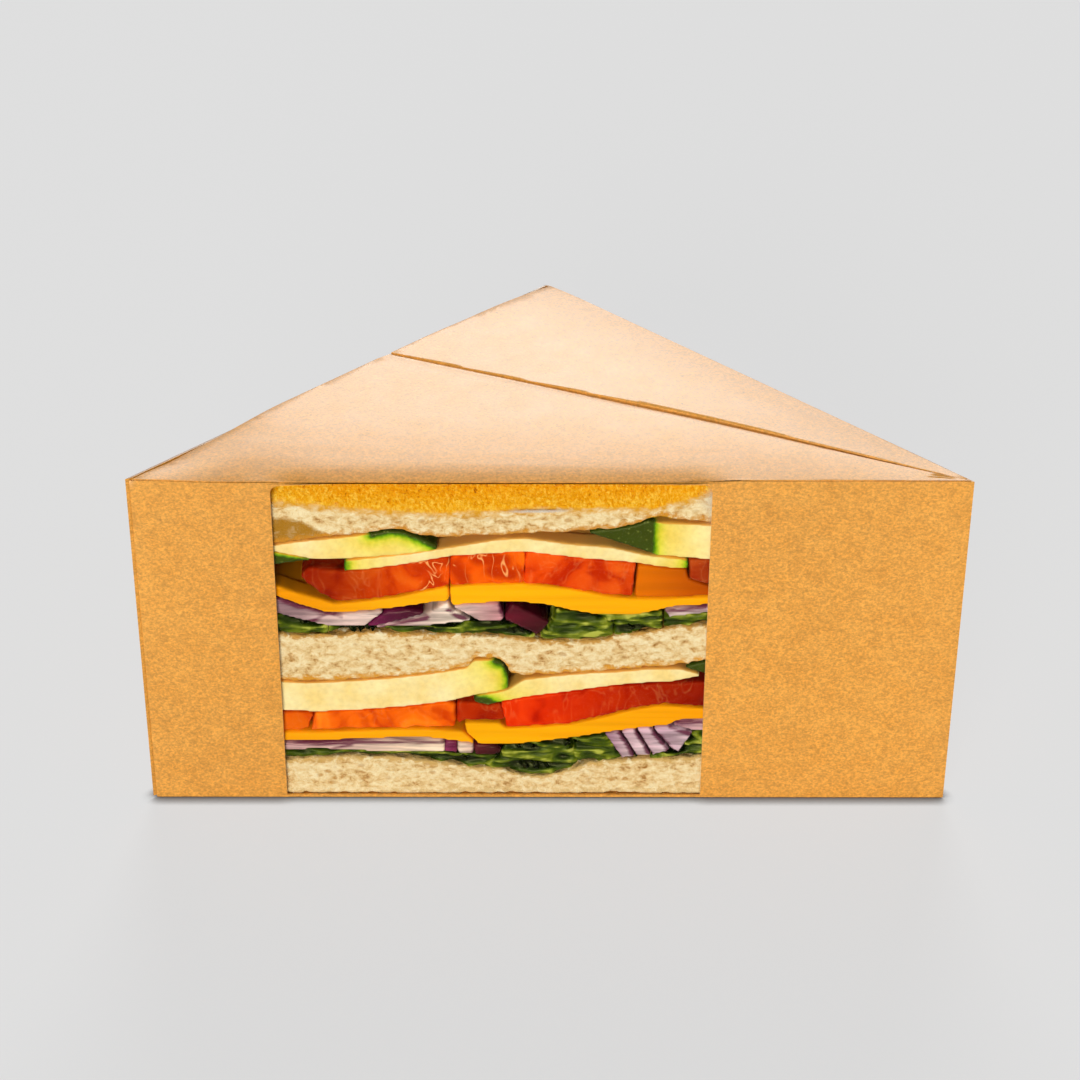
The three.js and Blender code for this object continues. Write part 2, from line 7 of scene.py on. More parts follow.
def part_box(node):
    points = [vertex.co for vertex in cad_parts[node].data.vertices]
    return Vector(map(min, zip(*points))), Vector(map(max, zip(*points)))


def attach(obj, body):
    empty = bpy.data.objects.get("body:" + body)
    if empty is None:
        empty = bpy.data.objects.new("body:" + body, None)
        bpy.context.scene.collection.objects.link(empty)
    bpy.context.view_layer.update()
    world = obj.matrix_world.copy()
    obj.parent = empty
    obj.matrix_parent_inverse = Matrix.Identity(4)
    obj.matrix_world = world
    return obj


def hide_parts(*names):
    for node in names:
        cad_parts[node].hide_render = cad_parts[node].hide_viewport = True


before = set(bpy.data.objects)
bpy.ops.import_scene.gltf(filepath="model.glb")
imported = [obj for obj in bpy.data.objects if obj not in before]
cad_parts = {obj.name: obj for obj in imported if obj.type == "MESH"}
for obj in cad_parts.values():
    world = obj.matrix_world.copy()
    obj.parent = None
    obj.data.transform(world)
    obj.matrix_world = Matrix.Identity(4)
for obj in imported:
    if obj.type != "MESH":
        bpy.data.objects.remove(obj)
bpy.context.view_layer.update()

# Camera, floor and light. A long lens looks down on the box from a little over half a metre away.
# The floor and the studio around it are one plain pale grey, and two broad soft lights stand in
# front of and behind the box.
MM = 0.001
EYE = Vector((-3.65, -535.95, 384.64)) * MM
YAW, PITCH, ROLL = (math.radians(angle) for angle in (0.19, 32.78, 0.18))
LENS_MM = 94.07
STUDIO = "#dedede"
FLOOR_SIZE = 8.0
FLOOR_GLOW = 0.88
FLOOR_SEEN, FLOOR_BOUNCE = "#666666", "#d2d2d2"
CONTACT_SHADOW_REACH, CONTACT_SHADOW_POWER = 3.2 * MM, 3.2
SKY_LIGHT = 0.2
LIGHTS = {
    # name: (bearing it shines from, height above the floor, spread in degrees, strength)
    "front_softbox": (-12, 12, 30, 2.75),
    "back_softbox": (178, 32, 26, 1.85),
}


def colour(hex_text):
    """A colour written as sRGB hex, as the linear numbers that a shader takes."""
    parts = [int(hex_text[i:i + 2], 16) / 255 for i in (1, 3, 5)]
    linear = [p / 12.92 if p <= 0.04045 else ((p + 0.055) / 1.055) ** 2.4 for p in parts]
    return (*linear, 1.0)


def add(tree, kind, inputs=None, **settings):
    """Adds a shader node, with its settings, and its sockets set or linked."""
    made = tree.nodes.new("ShaderNode" + kind)
    for name, value in settings.items():
        setattr(made, name, value)
    for name, value in (inputs or {}).items():
        if isinstance(value, bpy.types.NodeSocket):
            tree.links.new(value, made.inputs[name])
        else:
            made.inputs[name].default_value = value
    return made


scene = bpy.context.scene
scene.view_settings.view_transform = "Standard"
forward = Vector((
    math.sin(YAW) * math.cos(PITCH), math.cos(YAW) * math.cos(PITCH), -math.sin(PITCH)))
level = Vector((math.cos(YAW), -math.sin(YAW), 0))
upright = level.cross(forward)
right = math.cos(ROLL) * level + math.sin(ROLL) * upright
up = -math.sin(ROLL) * level + math.cos(ROLL) * upright
bpy.ops.object.camera_add()
camera = bpy.context.active_object
camera.matrix_world = Matrix.Translation(EYE) @ Matrix((right, up, -forward)).transposed().to_4x4()
camera.data.lens = LENS_MM
camera.data.sensor_width = 36
scene.camera = camera

world = bpy.data.worlds.new("pale_studio")
scene.world = world
world.use_nodes = True
tree = world.node_tree
tree.nodes.clear()
path = add(tree, "LightPath")
seen = add(tree, "Math", {0: path.outputs["Is Glossy Ray"], 1: path.outputs["Is Transmission Ray"]},
           operation="MAXIMUM")
seen = add(tree, "Math", {0: path.outputs["Is Camera Ray"], 1: seen.outputs[0]}, operation="MAXIMUM")
strength = add(tree, "Mix", {0: seen.outputs[0], 2: SKY_LIGHT, 3: 1.0})
hue = add(tree, "Mix", {0: seen.outputs[0], 6: (1, 1, 1, 1), 7: colour(STUDIO)}, data_type="RGBA")
sky = add(tree, "Background", {"Color": hue.outputs[2], "Strength": strength.outputs[0]})
add(tree, "OutputWorld", {"Surface": sky.outputs[0]})

for name, (bearing, height, spread, power) in LIGHTS.items():
    bpy.ops.object.light_add(type="SUN")
    light = bpy.context.active_object
    light.name = name
    turn, lift = math.radians(bearing), math.radians(height)
    source = Vector((
        math.sin(turn) * math.cos(lift), -math.cos(turn) * math.cos(lift), math.sin(lift)))
    light.rotation_euler = source.to_track_quat("Z", "Y").to_euler()
    light.data.angle = math.radians(spread)
    light.data.energy = power

bpy.ops.mesh.primitive_plane_add(size=FLOOR_SIZE, location=(0, 0, -0.02 * MM))
floor = bpy.context.active_object
floor.name = "floor"

# Studio paper, matt and plain: seen at its own even grey, with a painted contact shadow close under the
# box, where ambient occlusion darkens its glow.
paper = bpy.data.materials.new("pale_floor")
paper.use_nodes = True
tree = paper.node_tree
tree.nodes.clear()
path = add(tree, "LightPath")
seen = add(tree, "Math", {0: path.outputs["Is Camera Ray"], 1: path.outputs["Is Glossy Ray"]},
           operation="MAXIMUM")
grey = add(tree, "Mix", {0: seen.outputs[0], 6: colour(FLOOR_BOUNCE), 7: colour(FLOOR_SEEN)},
           data_type="RGBA")
matt = add(tree, "BsdfDiffuse", {"Color": grey.outputs[2]})
contact = add(tree, "AmbientOcclusion", {"Distance": CONTACT_SHADOW_REACH}, samples=8)
# Painted contact shadow: ambient occlusion darkens the floor's glow close under the box.
painted_contact_shadow = add(tree, "Math", {0: contact.outputs["AO"], 1: CONTACT_SHADOW_POWER}, operation="POWER")
lit = add(tree, "Math", {0: seen.outputs[0], 1: painted_contact_shadow.outputs[0]}, operation="MULTIPLY")
lit = add(tree, "Math", {0: lit.outputs[0], 1: FLOOR_GLOW}, operation="MULTIPLY")
glow = add(tree, "Emission", {"Color": colour(STUDIO), "Strength": lit.outputs[0]})
both = add(tree, "AddShader", {0: matt.outputs[0], 1: glow.outputs[0]})
add(tree, "OutputMaterial", {"Surface": both.outputs[0]})
floor.data.materials.append(paper)

# Carton: one folded blank of unbleached kraft board half a millimetre thick, with a light varnish.
# Its folds are creased, so they are slightly round, and its cut edges show the brown core.
CREASE_ROUND = 0.14 * MM
WELD = 0.001 * MM
FLAT_ANGLE = math.radians(0.4)
FOLD_ANGLE = math.radians(30)
BOARD_SPLIT = 3.5 * MM
SPLIT_ROUNDS = 7
EDGE_DEPTH = 1.5 * MM
FOLD_ZONE, PANEL_ZONE = 0.4 * MM, 0.6 * MM
# Painted shade: the front fold is painted darker between these bounds, as the shade in its crease.
CREASE_SHADE_LEFT, CREASE_SHADE_RIGHT, CREASE_SHADE = 38 * MM, 82 * MM, 0.7
SEAM_EDGE_BROWN = 0.35
FACES_UP, FACES_FRONT = 0.2, -0.5
FRONT = -43.5 * MM
ROOF = 82 * MM
HALF_WIDTH = 87 * MM


def copied(node, name):
    """A CAD node's mesh as a new piece, with its loose triangles welded."""
    piece = bpy.data.objects.new(name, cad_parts[node].data.copy())
    scene.collection.objects.link(piece)
    bpy.ops.object.select_all(action="DESELECT")
    piece.select_set(True)
    bpy.context.view_layer.objects.active = piece
    piece.data.materials.clear()
    bpy.ops.object.mode_set(mode="EDIT")
    bpy.ops.mesh.select_all(action="SELECT")
    bpy.ops.mesh.remove_doubles(threshold=WELD)
    bpy.ops.object.mode_set(mode="OBJECT")
    return piece


def shaped(piece, kind, **settings):
    """Puts one modifier on a piece and applies it."""
    bpy.context.view_layer.objects.active = piece
    bpy.ops.object.modifier_add(type=kind)
    modifier = piece.modifiers[-1]
    for name, value in settings.items():
        setattr(modifier, name, value)
    bpy.ops.object.modifier_apply(modifier=modifier.name)


def new_material(name):
    """A material with its shader and the piece's own coordinates, in metres."""
    made = bpy.data.materials.new(name)
    made.use_nodes = True
    nodes = made.node_tree
    shader = nodes.nodes["Principled BSDF"]
    place = add(nodes, "TexCoord").outputs["Object"]
    return made, nodes, shader, place


def placed(piece, material, body, slot, *stands_for):
    """Dresses a piece, and puts it on its body in place of the CAD nodes that it stands for."""
    piece.data.materials.clear()
    piece.data.materials.append(material)
    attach(piece, body)
    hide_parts(*stands_for)


def between(low, high, value):
    """How far a value has come from one bound to the other, from 0 to 1, with soft ends."""
    share = min(max((value - low) / (high - low), 0.0), 1.0)
    return share * share * (3 - 2 * share)


def folded(node, name):
    """A board piece with its folds and edges slightly round, split finely enough to bend. A face
    that has more board behind it than its thickness is a cut edge: brown, or painted pale at the
    window as a highlight. The right part of the front fold gets painted shade."""
    piece = copied(node, name)
    bpy.ops.object.mode_set(mode="EDIT")
    bpy.ops.mesh.select_all(action="SELECT")
    bpy.ops.mesh.dissolve_limited(angle_limit=FLAT_ANGLE)
    bpy.ops.object.mode_set(mode="OBJECT")
    shaped(piece, "BEVEL", width=CREASE_ROUND, segments=2, limit_method="ANGLE",
           angle_limit=FOLD_ANGLE, harden_normals=False)
    shaped(piece, "TRIANGULATE")
    mesh = piece.data
    brown = mesh.attributes.new("brown_edge_and_crease_shade", "FLOAT", "FACE")
    pale = mesh.attributes.new("painted_edge_highlight", "FLOAT", "FACE")
    for face in mesh.polygons:
        x, y, z = face.center
        hit, place, _, _ = piece.ray_cast(face.center - face.normal * WELD, -face.normal)
        to_right = (HALF_WIDTH - x - y + FRONT) * math.sqrt(0.5)
        at_fold = min(z, ROOF - z) < FOLD_ZONE and min(y - FRONT, to_right) < FOLD_ZONE
        if at_fold:
            # Painted shade: the crease along the right part of the front fold is painted darker.
            shaded_crease = z > ROOF / 2 and CREASE_SHADE_LEFT < x < CREASE_SHADE_RIGHT
            brown.data[face.index].value = CREASE_SHADE if shaded_crease else 0.0
        elif hit and (place - face.center).length > EDGE_DEPTH:
            at_seam = z > ROOF - FOLD_ZONE and face.normal.y < FACES_FRONT
            # Painted highlight: the window's cut edges are painted pale.
            if y < FRONT + PANEL_ZONE and FOLD_ZONE < z < ROOF - FOLD_ZONE:
                pale.data[face.index].value = 1.0
            else:
                brown.data[face.index].value = SEAM_EDGE_BROWN if at_seam else 1.0
    for _ in range(SPLIT_ROUNDS):
        mesh.vertices.foreach_set("select", [False] * len(mesh.vertices))
        mesh.polygons.foreach_set("select", [False] * len(mesh.polygons))
        ends = [[mesh.vertices[v].co for v in edge.vertices] for edge in mesh.edges]
        too_long = [(a - b).length > BOARD_SPLIT for a, b in ends]
        if not any(too_long):
            break
        mesh.edges.foreach_set("select", too_long)
        bpy.ops.object.mode_set(mode="EDIT")
        bpy.ops.mesh.select_mode(type="EDGE")
        bpy.ops.mesh.subdivide(number_cuts=1)
        bpy.ops.object.mode_set(mode="OBJECT")
    bpy.ops.object.shade_smooth_by_angle(angle=FOLD_ANGLE)
    return piece


# Kraft board, calendered and varnished: warm tan with short pale and dark fibres, cloudy patches
# where the pulp is thicker, and a soft sheen that pales it when light comes from behind.
kraft, tree, shader, place = new_material("varnished_kraft_board")
cloud = add(tree, "TexNoise", {"Vector": place, "Scale": 160, "Detail": 4, "Roughness": 0.6})
drift = add(tree, "TexNoise", {"Vector": place, "Scale": 20, "Detail": 2, "Roughness": 0.5})
pulp = add(tree, "TexNoise", {"Vector": place, "Scale": 1900, "Detail": 2, "Roughness": 0.6})
along = add(tree, "Mapping", {"Vector": place, "Scale": (900, 1500, 1900)})
fibres = add(tree, "TexNoise", {"Vector": along.outputs[0], "Scale": 1.0, "Detail": 3, "Distortion": 1.1})
tone = add(tree, "ValToRGB", {"Fac": cloud.outputs["Fac"]})
tone.color_ramp.elements[0].position = 0.3
tone.color_ramp.elements[0].color = colour("#d99334")
tone.color_ramp.elements[1].position = 0.72
tone.color_ramp.elements[1].color = colour("#e39f40")
fine = add(tree, "MapRange", {"Value": pulp.outputs["Fac"], 1: 0.32, 2: 0.68, 3: 0.8, 4: 1.18})
strand = add(tree, "MapRange", {"Value": fibres.outputs["Fac"], 1: 0.34, 2: 0.66, 3: 0.84, 4: 1.15})
wide = add(tree, "MapRange", {"Value": drift.outputs["Fac"], 1: 0.3, 2: 0.7, 3: 0.96, 4: 1.04})
shade = add(tree, "Math", {0: fine.outputs[0], 1: strand.outputs[0]}, operation="MULTIPLY")
shade = add(tree, "Math", {0: shade.outputs[0], 1: wide.outputs[0]}, operation="MULTIPLY")
mottled = add(tree, "VectorMath", {0: tone.outputs[0], "Scale": shade.outputs[0]}, operation="SCALE")
speck = add(tree, "TexVoronoi", {"Vector": place, "Scale": 420})
spots = add(tree, "TexNoise", {"Vector": place, "Scale": 160, "Detail": 1})
dot = add(tree, "MapRange", {"Value": speck.outputs["Distance"], 1: 0.08, 2: 0.14, 3: 0.6, 4: 0.0})
rare = add(tree, "MapRange", {"Value": spots.outputs["Fac"], 1: 0.63, 2: 0.68, 3: 0.0, 4: 1.0})
dark = add(tree, "Math", {0: dot.outputs[0], 1: rare.outputs[0]}, operation="MULTIPLY")
speckled = add(tree, "Mix", {0: dark.outputs[0], 6: mottled.outputs[0], 7: colour("#8a5524")},
               data_type="RGBA")
# Cut edges are painted brown for the board's core, and the front fold's crease darker as painted shade.
brown_edge_and_crease_shade = add(tree, "Attribute", attribute_name="brown_edge_and_crease_shade")
board = add(tree, "Mix", {0: brown_edge_and_crease_shade.outputs["Fac"], 6: speckled.outputs[2], 7: colour("#94602a")},
            data_type="RGBA")
# Painted highlight: the window's cut edges are painted pale.
painted_edge_highlight = add(tree, "Attribute", attribute_name="painted_edge_highlight")
board = add(tree, "Mix", {0: painted_edge_highlight.outputs["Fac"], 6: board.outputs[2], 7: colour("#f4cf98")},
            data_type="RGBA")
rough = add(tree, "MapRange", {"Value": cloud.outputs["Fac"], 1: 0.3, 2: 0.7, 3: 0.41, 4: 0.44})
bump = add(tree, "Bump", {"Height": pulp.outputs["Fac"], "Strength": 0.1, "Distance": 0.04 * MM})
tree.links.new(board.outputs[2], shader.inputs["Base Color"])
tree.links.new(rough.outputs[0], shader.inputs["Roughness"])
tree.links.new(bump.outputs[0], shader.inputs["Normal"])
shader.inputs["IOR"].default_value = 1.65
shader.inputs["Specular Tint"].default_value = colour("#fff2dc")
shader.inputs["Sheen Weight"].default_value = 0.1
shader.inputs["Sheen Roughness"].default_value = 0.4

# The roof is pushed down at the lid's two ends. Its front fold sinks a little at the left and over
# the window, and the back flap's cut edge stands proud along the seam.
ROOF_FROM, ROOF_FULL = ROOF - 6 * MM, ROOF - 0.6 * MM
EDGE_SAG, EDGE_SAG_REACH, EDGE_SAG_FADE = 1.0 * MM, 13 * MM, 9 * MM
FRONT_END, BACK_END, BACK_END_SHARE = (22 * MM, 42 * MM), (84 * MM, 98 * MM), 0.4
CORNER_SAG, CORNER_SAG_REACH = 0.6 * MM, 13 * MM
CORNER_SAG_LEFT, CORNER_SAG_RIGHT = -86 * MM, -44 * MM
WINDOW_SAG, WINDOW_SAG_REACH = 0.55 * MM, 6 * MM
WINDOW_SAG_LEFT, WINDOW_SAG_RIGHT = (-60.5 * MM, -50.5 * MM), (28.4 * MM, 38.4 * MM)
WINDOW_TOP, FOLD_FULL = 81.3 * MM, ROOF - 0.3 * MM
SEAM = math.radians(22.8)
SEAM_RISE, SEAM_REACH = 0.3 * MM, 9 * MM
SEAM_RISE_RIGHT, SEAM_RISE_LEFT = (4 * MM, 24 * MM), (70 * MM, 110 * MM)


def from_seam(x, y):
    """How far a place on the roof lies behind the seam, and along it from the front right corner."""
    behind = (y - FRONT) * math.cos(SEAM) - (HALF_WIDTH - x) * math.sin(SEAM)
    along = (HALF_WIDTH - x) * math.cos(SEAM) + (y - FRONT) * math.sin(SEAM)
    return behind, along


carton = folded("carton", "folded_carton")
proud = set()
for face in carton.data.polygons:
    x, y, z = face.center
    behind, _ = from_seam(x, y)
    if z > ROOF and face.normal.z > FACES_UP and 0 < behind < SEAM_REACH:
        if not carton.ray_cast(face.center + face.normal * WELD, (0, 0, 1))[0]:
            proud.update(face.vertices)
for index in proud:
    x, y, _ = carton.data.vertices[index].co
    behind, along = from_seam(x, y)
    rise = between(*SEAM_RISE_RIGHT, along) * (1 - between(*SEAM_RISE_LEFT, along))
    rise *= max(0.0, 1 - max(behind, 0.0) / SEAM_REACH) ** 2
    carton.data.vertices[index].co.z += SEAM_RISE * rise
for vertex in carton.data.vertices:
    x, y, z = vertex.co
    run = (x + HALF_WIDTH + y - FRONT) * math.sqrt(0.5)
    inward = (x + HALF_WIDTH - y + FRONT) * math.sqrt(0.5)
    ends = max(1 - between(*FRONT_END, run), BACK_END_SHARE * between(*BACK_END, run))
    ends *= between(0, EDGE_SAG_FADE, y - FRONT)
    sag = EDGE_SAG * ends * max(0.0, 1 - inward / EDGE_SAG_REACH) ** 2
    across = min(max((x - CORNER_SAG_LEFT) / (CORNER_SAG_RIGHT - CORNER_SAG_LEFT), 0.0), 1.0)
    near = max(0.0, 1 - (y - FRONT) / CORNER_SAG_REACH) ** 2
    sag += CORNER_SAG * math.sin(math.pi * across) ** 2 * near
    vertex.co.z -= sag * between(ROOF_FROM, ROOF_FULL, z)
    over_window = between(*WINDOW_SAG_LEFT, x) * (1 - between(*WINDOW_SAG_RIGHT, x))
    over_window *= between(WINDOW_TOP, FOLD_FULL, z)
    vertex.co.z -= WINDOW_SAG * over_window * max(0.0, 1 - (y - FRONT) / WINDOW_SAG_REACH) ** 2
placed(carton, kraft, "root", "kraft_board", "carton")

# Lid: the left side of the same blank, hinged on the front left crease, with a tuck tab that
# slides in behind the right side. Its top edge stands a hair above the roof's ends.
LID_RISE, LID_RISE_END = 0.3 * MM, (-20 * MM, -2 * MM)
LID_TOP = (ROOF - 6 * MM, ROOF - 0.5 * MM)

lid = folded("lid", "hinged_lid")
for vertex in lid.data.vertices:
    short_of_end = 1 - between(*LID_RISE_END, vertex.co.x)
    vertex.co.z += LID_RISE * short_of_end * between(*LID_TOP, vertex.co.z)
placed(lid, kraft, "lid", "kraft_board", "lid")

# Window film: clear polypropylene glued behind the front. It is stretched nearly flat, with faint
# waves and one short crease near the top. A painted reflection lies along the crease and on a patch in the
# right corner.
film_low, film_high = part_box("window_film")
FILM_STEP_X, FILM_STEP_Z = 1.5 * MM, 0.25 * MM
FILM_DROP = 0.8 * MM
FILM_THICKNESS = 0.04 * MM
WAVE_HEIGHT, WAVE_REACH_X, WAVE_REACH_Z = 0.03 * MM, 6.8 * MM, 17 * MM
CREASE_LEFT, CREASE_RIGHT, CREASE_Z = -10 * MM, 5 * MM, 74.2 * MM
CREASE_HEIGHT, CREASE_WIDTH, CREASE_SLOPE, CREASE_END = 0.1 * MM, 0.22 * MM, 0.015, 0.7
GLINT_PATCH_X, GLINT_PATCH_Z, GLINT_PATCH_REACH, GLINT_PATCH_SHARE = 33.4 * MM, 76.5 * MM, 3.6 * MM, 0.25

film_size = film_high - film_low - Vector((0, 0, FILM_DROP))
bpy.ops.object.select_all(action="DESELECT")
bpy.ops.mesh.primitive_grid_add(
    x_subdivisions=round(film_size.x / FILM_STEP_X), y_subdivisions=round(film_size.z / FILM_STEP_Z),
    size=1, rotation=(math.pi / 2, 0, 0),
    location=(film_low + film_high - Vector((0, 0, FILM_DROP))) / 2)
film = bpy.context.active_object
film.name = "clear_window_film"
film.scale = (film_size.x, film_size.z, 1)
bpy.ops.object.transform_apply(location=True, rotation=True, scale=True)
glint = film.data.attributes.new("glint", "FLOAT", "POINT")
for vertex in film.data.vertices:
    x, _, z = vertex.co
    wave = WAVE_HEIGHT * math.sin(x / WAVE_REACH_X + z / WAVE_REACH_Z)
    along = 1 - abs((x - CREASE_LEFT) / (CREASE_RIGHT - CREASE_LEFT) * 2 - 1)
    off_crease = (z - CREASE_Z - CREASE_SLOPE * x) / CREASE_WIDTH
    ridge = between(0, CREASE_END, along) * math.exp(-off_crease ** 2)
    glint_patch = between(0, 1, 1 - (abs(x - GLINT_PATCH_X) + 0.5 * abs(z - GLINT_PATCH_Z)) / GLINT_PATCH_REACH)
    vertex.co.y += wave - CREASE_HEIGHT * ridge
    # Painted reflection: the glint attribute marks the crease and the corner patch.
    glint.data[vertex.index].value = max(ridge, GLINT_PATCH_SHARE * glint_patch)
shaped(film, "SOLIDIFY", thickness=FILM_THICKNESS, offset=0)
bpy.ops.object.shade_smooth()

# Cast polypropylene: colourless and very smooth, seen only by what it reflects, with a painted
# reflection where its glint attribute raises the mirror share, along the crease and in the right corner.
clear, tree, shader, place = new_material("cast_polypropylene_film")
tree.nodes.remove(shader)
through = add(tree, "BsdfTransparent", {"Color": (1, 1, 1, 1)})
mirror = add(tree, "BsdfGlossy", {"Color": colour("#fff6e4"), "Roughness": 0.06})
facing = add(tree, "Fresnel", {"IOR": 1.3})
thin = add(tree, "Math", {0: facing.outputs[0], 1: 0.06}, operation="MULTIPLY")
# Painted reflection: the glint attribute raises the mirror share along the crease and on the corner patch.
painted_glint = add(tree, "Attribute", attribute_name="glint")
glint_share = add(tree, "Math", {0: painted_glint.outputs["Fac"], 1: 0.8}, operation="MULTIPLY")
share = add(tree, "Math", {0: thin.outputs[0], 1: glint_share.outputs[0]}, operation="ADD")
pane = add(tree, "MixShader", {0: share.outputs[0], 1: through.outputs[0], 2: mirror.outputs[0]})
tree.links.new(pane.outputs[0], tree.nodes["Material Output"].inputs["Surface"])
placed(film, clear, "root", "clear_film", "window_film")

# Breads: three slices of soft white sandwich loaf, the top one toasted on its outside. The cut
# face shows the open crumb, browned along its edges, and the crust runs along the short sides.
BREAD_VOXEL = 0.45 * MM
CUT_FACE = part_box("bread_middle")[0].y
TOAST_DEPTH, SHOWN_DEPTH, OVERLAP = 14 * MM, 5 * MM, 0.5 * MM
SPRING_BACK = 0.6 * MM
TOAST_LEAN, TOAST_RISE, TOAST_TOP = 1.1, 6.2 * MM, 79.4 * MM
TOAST_FRONT, TOAST_BACK = (70.5 * MM, 72 * MM), (71.5 * MM, 73.5 * MM)
CRUMB_SWELL, CRUMB_PITS = 1.0 * MM, 0.8 * MM
TOAST_SWELL, TOAST_PITS = 0.7 * MM, 0.35 * MM
FOOT, FOOT_BULGE, FOOT_DEPTH = (1.2 * MM, 4 * MM), 0.35 * MM, 3 * MM
SWELL = 0.22 * MM
BAND_REACH = 6 * MM
RAY_INSET = 0.6 * MM
FACES_OUT = 0.6
OFF_ALL_LINES = 99.0
TOAST_SHADE_WEDGE = {
    # the part of a slice's cut face painted darker, as the shade of a recess in the crumb
    "bread_top": [[(-60, 72), (-52, 71), (-46.5, 67.6), (-46, 66.2), (-60, 64.6), (-60, 72)]],
}


def texture(kind, size, **settings):
    """A procedural height pattern of a given size, for a displacement."""
    made = bpy.data.textures.new(f"{kind}_{size:.5f}", type=kind)
    made.noise_scale = size
    for name, value in settings.items():
        setattr(made, name, value)
    return made


def sliced(piece, depth, keep_front):
    """Cuts a piece across at a depth behind the sandwich's cut face, and closes the cut."""
    bpy.ops.object.select_all(action="DESELECT")
    piece.select_set(True)
    bpy.context.view_layer.objects.active = piece
    bpy.ops.object.mode_set(mode="EDIT")
    bpy.ops.mesh.select_all(action="SELECT")
    bpy.ops.mesh.bisect(plane_co=(0, CUT_FACE + depth, 0), plane_no=(0, 1, 0), use_fill=True,
                        clear_outer=keep_front, clear_inner=not keep_front)
    bpy.ops.object.mode_set(mode="OBJECT")


def softened(node, name, voxel, smooth, depth):
    """A food piece: rebuilt as an even mesh with rounded corners as deep as the window shows it, and
    left as its solid behind that."""
    back = copied(node, name)
    sliced(back, depth - OVERLAP, keep_front=False)
    front = copied(node, name + "_front")
    sliced(front, depth, keep_front=True)
    shaped(front, "REMESH", mode="VOXEL", voxel_size=voxel, use_smooth_shade=True)
    shaped(front, "SMOOTH", factor=0.5, iterations=smooth)
    shaped(front, "DISPLACE", strength=SWELL, mid_level=0)
    return front, back


def joined(front, back):
    """Makes one piece of a slice's two parts, raised as far as the soft sandwich springs up."""
    bpy.ops.object.select_all(action="DESELECT")
    front.select_set(True)
    back.select_set(True)
    bpy.context.view_layer.objects.active = front
    name = back.name
    bpy.ops.object.join()
    front.name = name
    for vertex in front.data.vertices:
        vertex.co.z += SPRING_BACK
    return front


def uneven(piece, pattern, height, middle=0.5):
    """Pushes a piece's surface in and out by a pattern."""
    shaped(piece, "DISPLACE", texture=pattern, texture_coords="LOCAL", strength=height, mid_level=middle)


def kept_inside(piece, node, sunk=0.0):
    """Sets a food piece back, and keeps it in its solid's box, with a little room at every side
    but the front and the back."""
    low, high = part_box(node)
    low, high = low - Vector((SWELL, 0, SWELL)), high + Vector((SWELL, 0, SWELL))
    for vertex in piece.data.vertices:
        vertex.co.y += sunk
        vertex.co = [min(max(c, a), b) for c, a, b in zip(vertex.co, low, high)]


def inside(point, corners):
    """Whether a point lies in a closed outline."""
    found = False
    for a, b in zip(corners, corners[1:]):
        if (a.y > point.y) != (b.y > point.y):
            if point.x < (b.x - a.x) * (point.y - a.y) / (b.y - a.y) + a.x:
                found = not found
    return found


def marked(piece, name, lines):
    """Writes each vertex's distance in millimetres from lines on the cut face into an attribute.
    The outline that a closed line draws counts as filled."""
    layer = piece.data.attributes.new(name, "FLOAT", "POINT")
    drawn = [[Vector(point) for point in line] for line in lines]
    for vertex in piece.data.vertices:
        point = Vector((vertex.co.x, vertex.co.z)) / MM
        nearest = OFF_ALL_LINES
        for line in drawn:
            if line[0] == line[-1] and inside(point, line):
                nearest = 0.0
                break
            for a, b in zip(line, line[1:]):
                run = b - a
                share = min(max((point - a).dot(run) / run.length_squared, 0), 1)
                nearest = min(nearest, (point - a - run * share).length)
        layer.data[vertex.index].value = nearest


def banded(piece):
    """Writes how far each vertex is from the top and the underside of its slice, in millimetres."""
    layers = [(piece.data.attributes.new(name, "FLOAT", "POINT"), way)
              for name, way in (("from_top", 1), ("from_under", -1))]
    found = []
    for vertex in piece.data.vertices:
        start = vertex.co + Vector((0, RAY_INSET, 0))
        for layer, way in layers:
            if vertex.normal.z * way > FACES_OUT:
                found.append((layer, vertex.index, 0.0))
                continue
            hit, place, _, _ = piece.ray_cast(start, (0, 0, way), distance=BAND_REACH)
            gap = abs(place.z - start.z) if hit else BAND_REACH
            found.append((layer, vertex.index, gap / MM))
    for layer, index, gap in found:
        layer.data[index].value = gap


swell = texture("CLOUDS", 5 * MM, noise_depth=2)
pitted = texture("CLOUDS", 1.6 * MM, noise_depth=1)


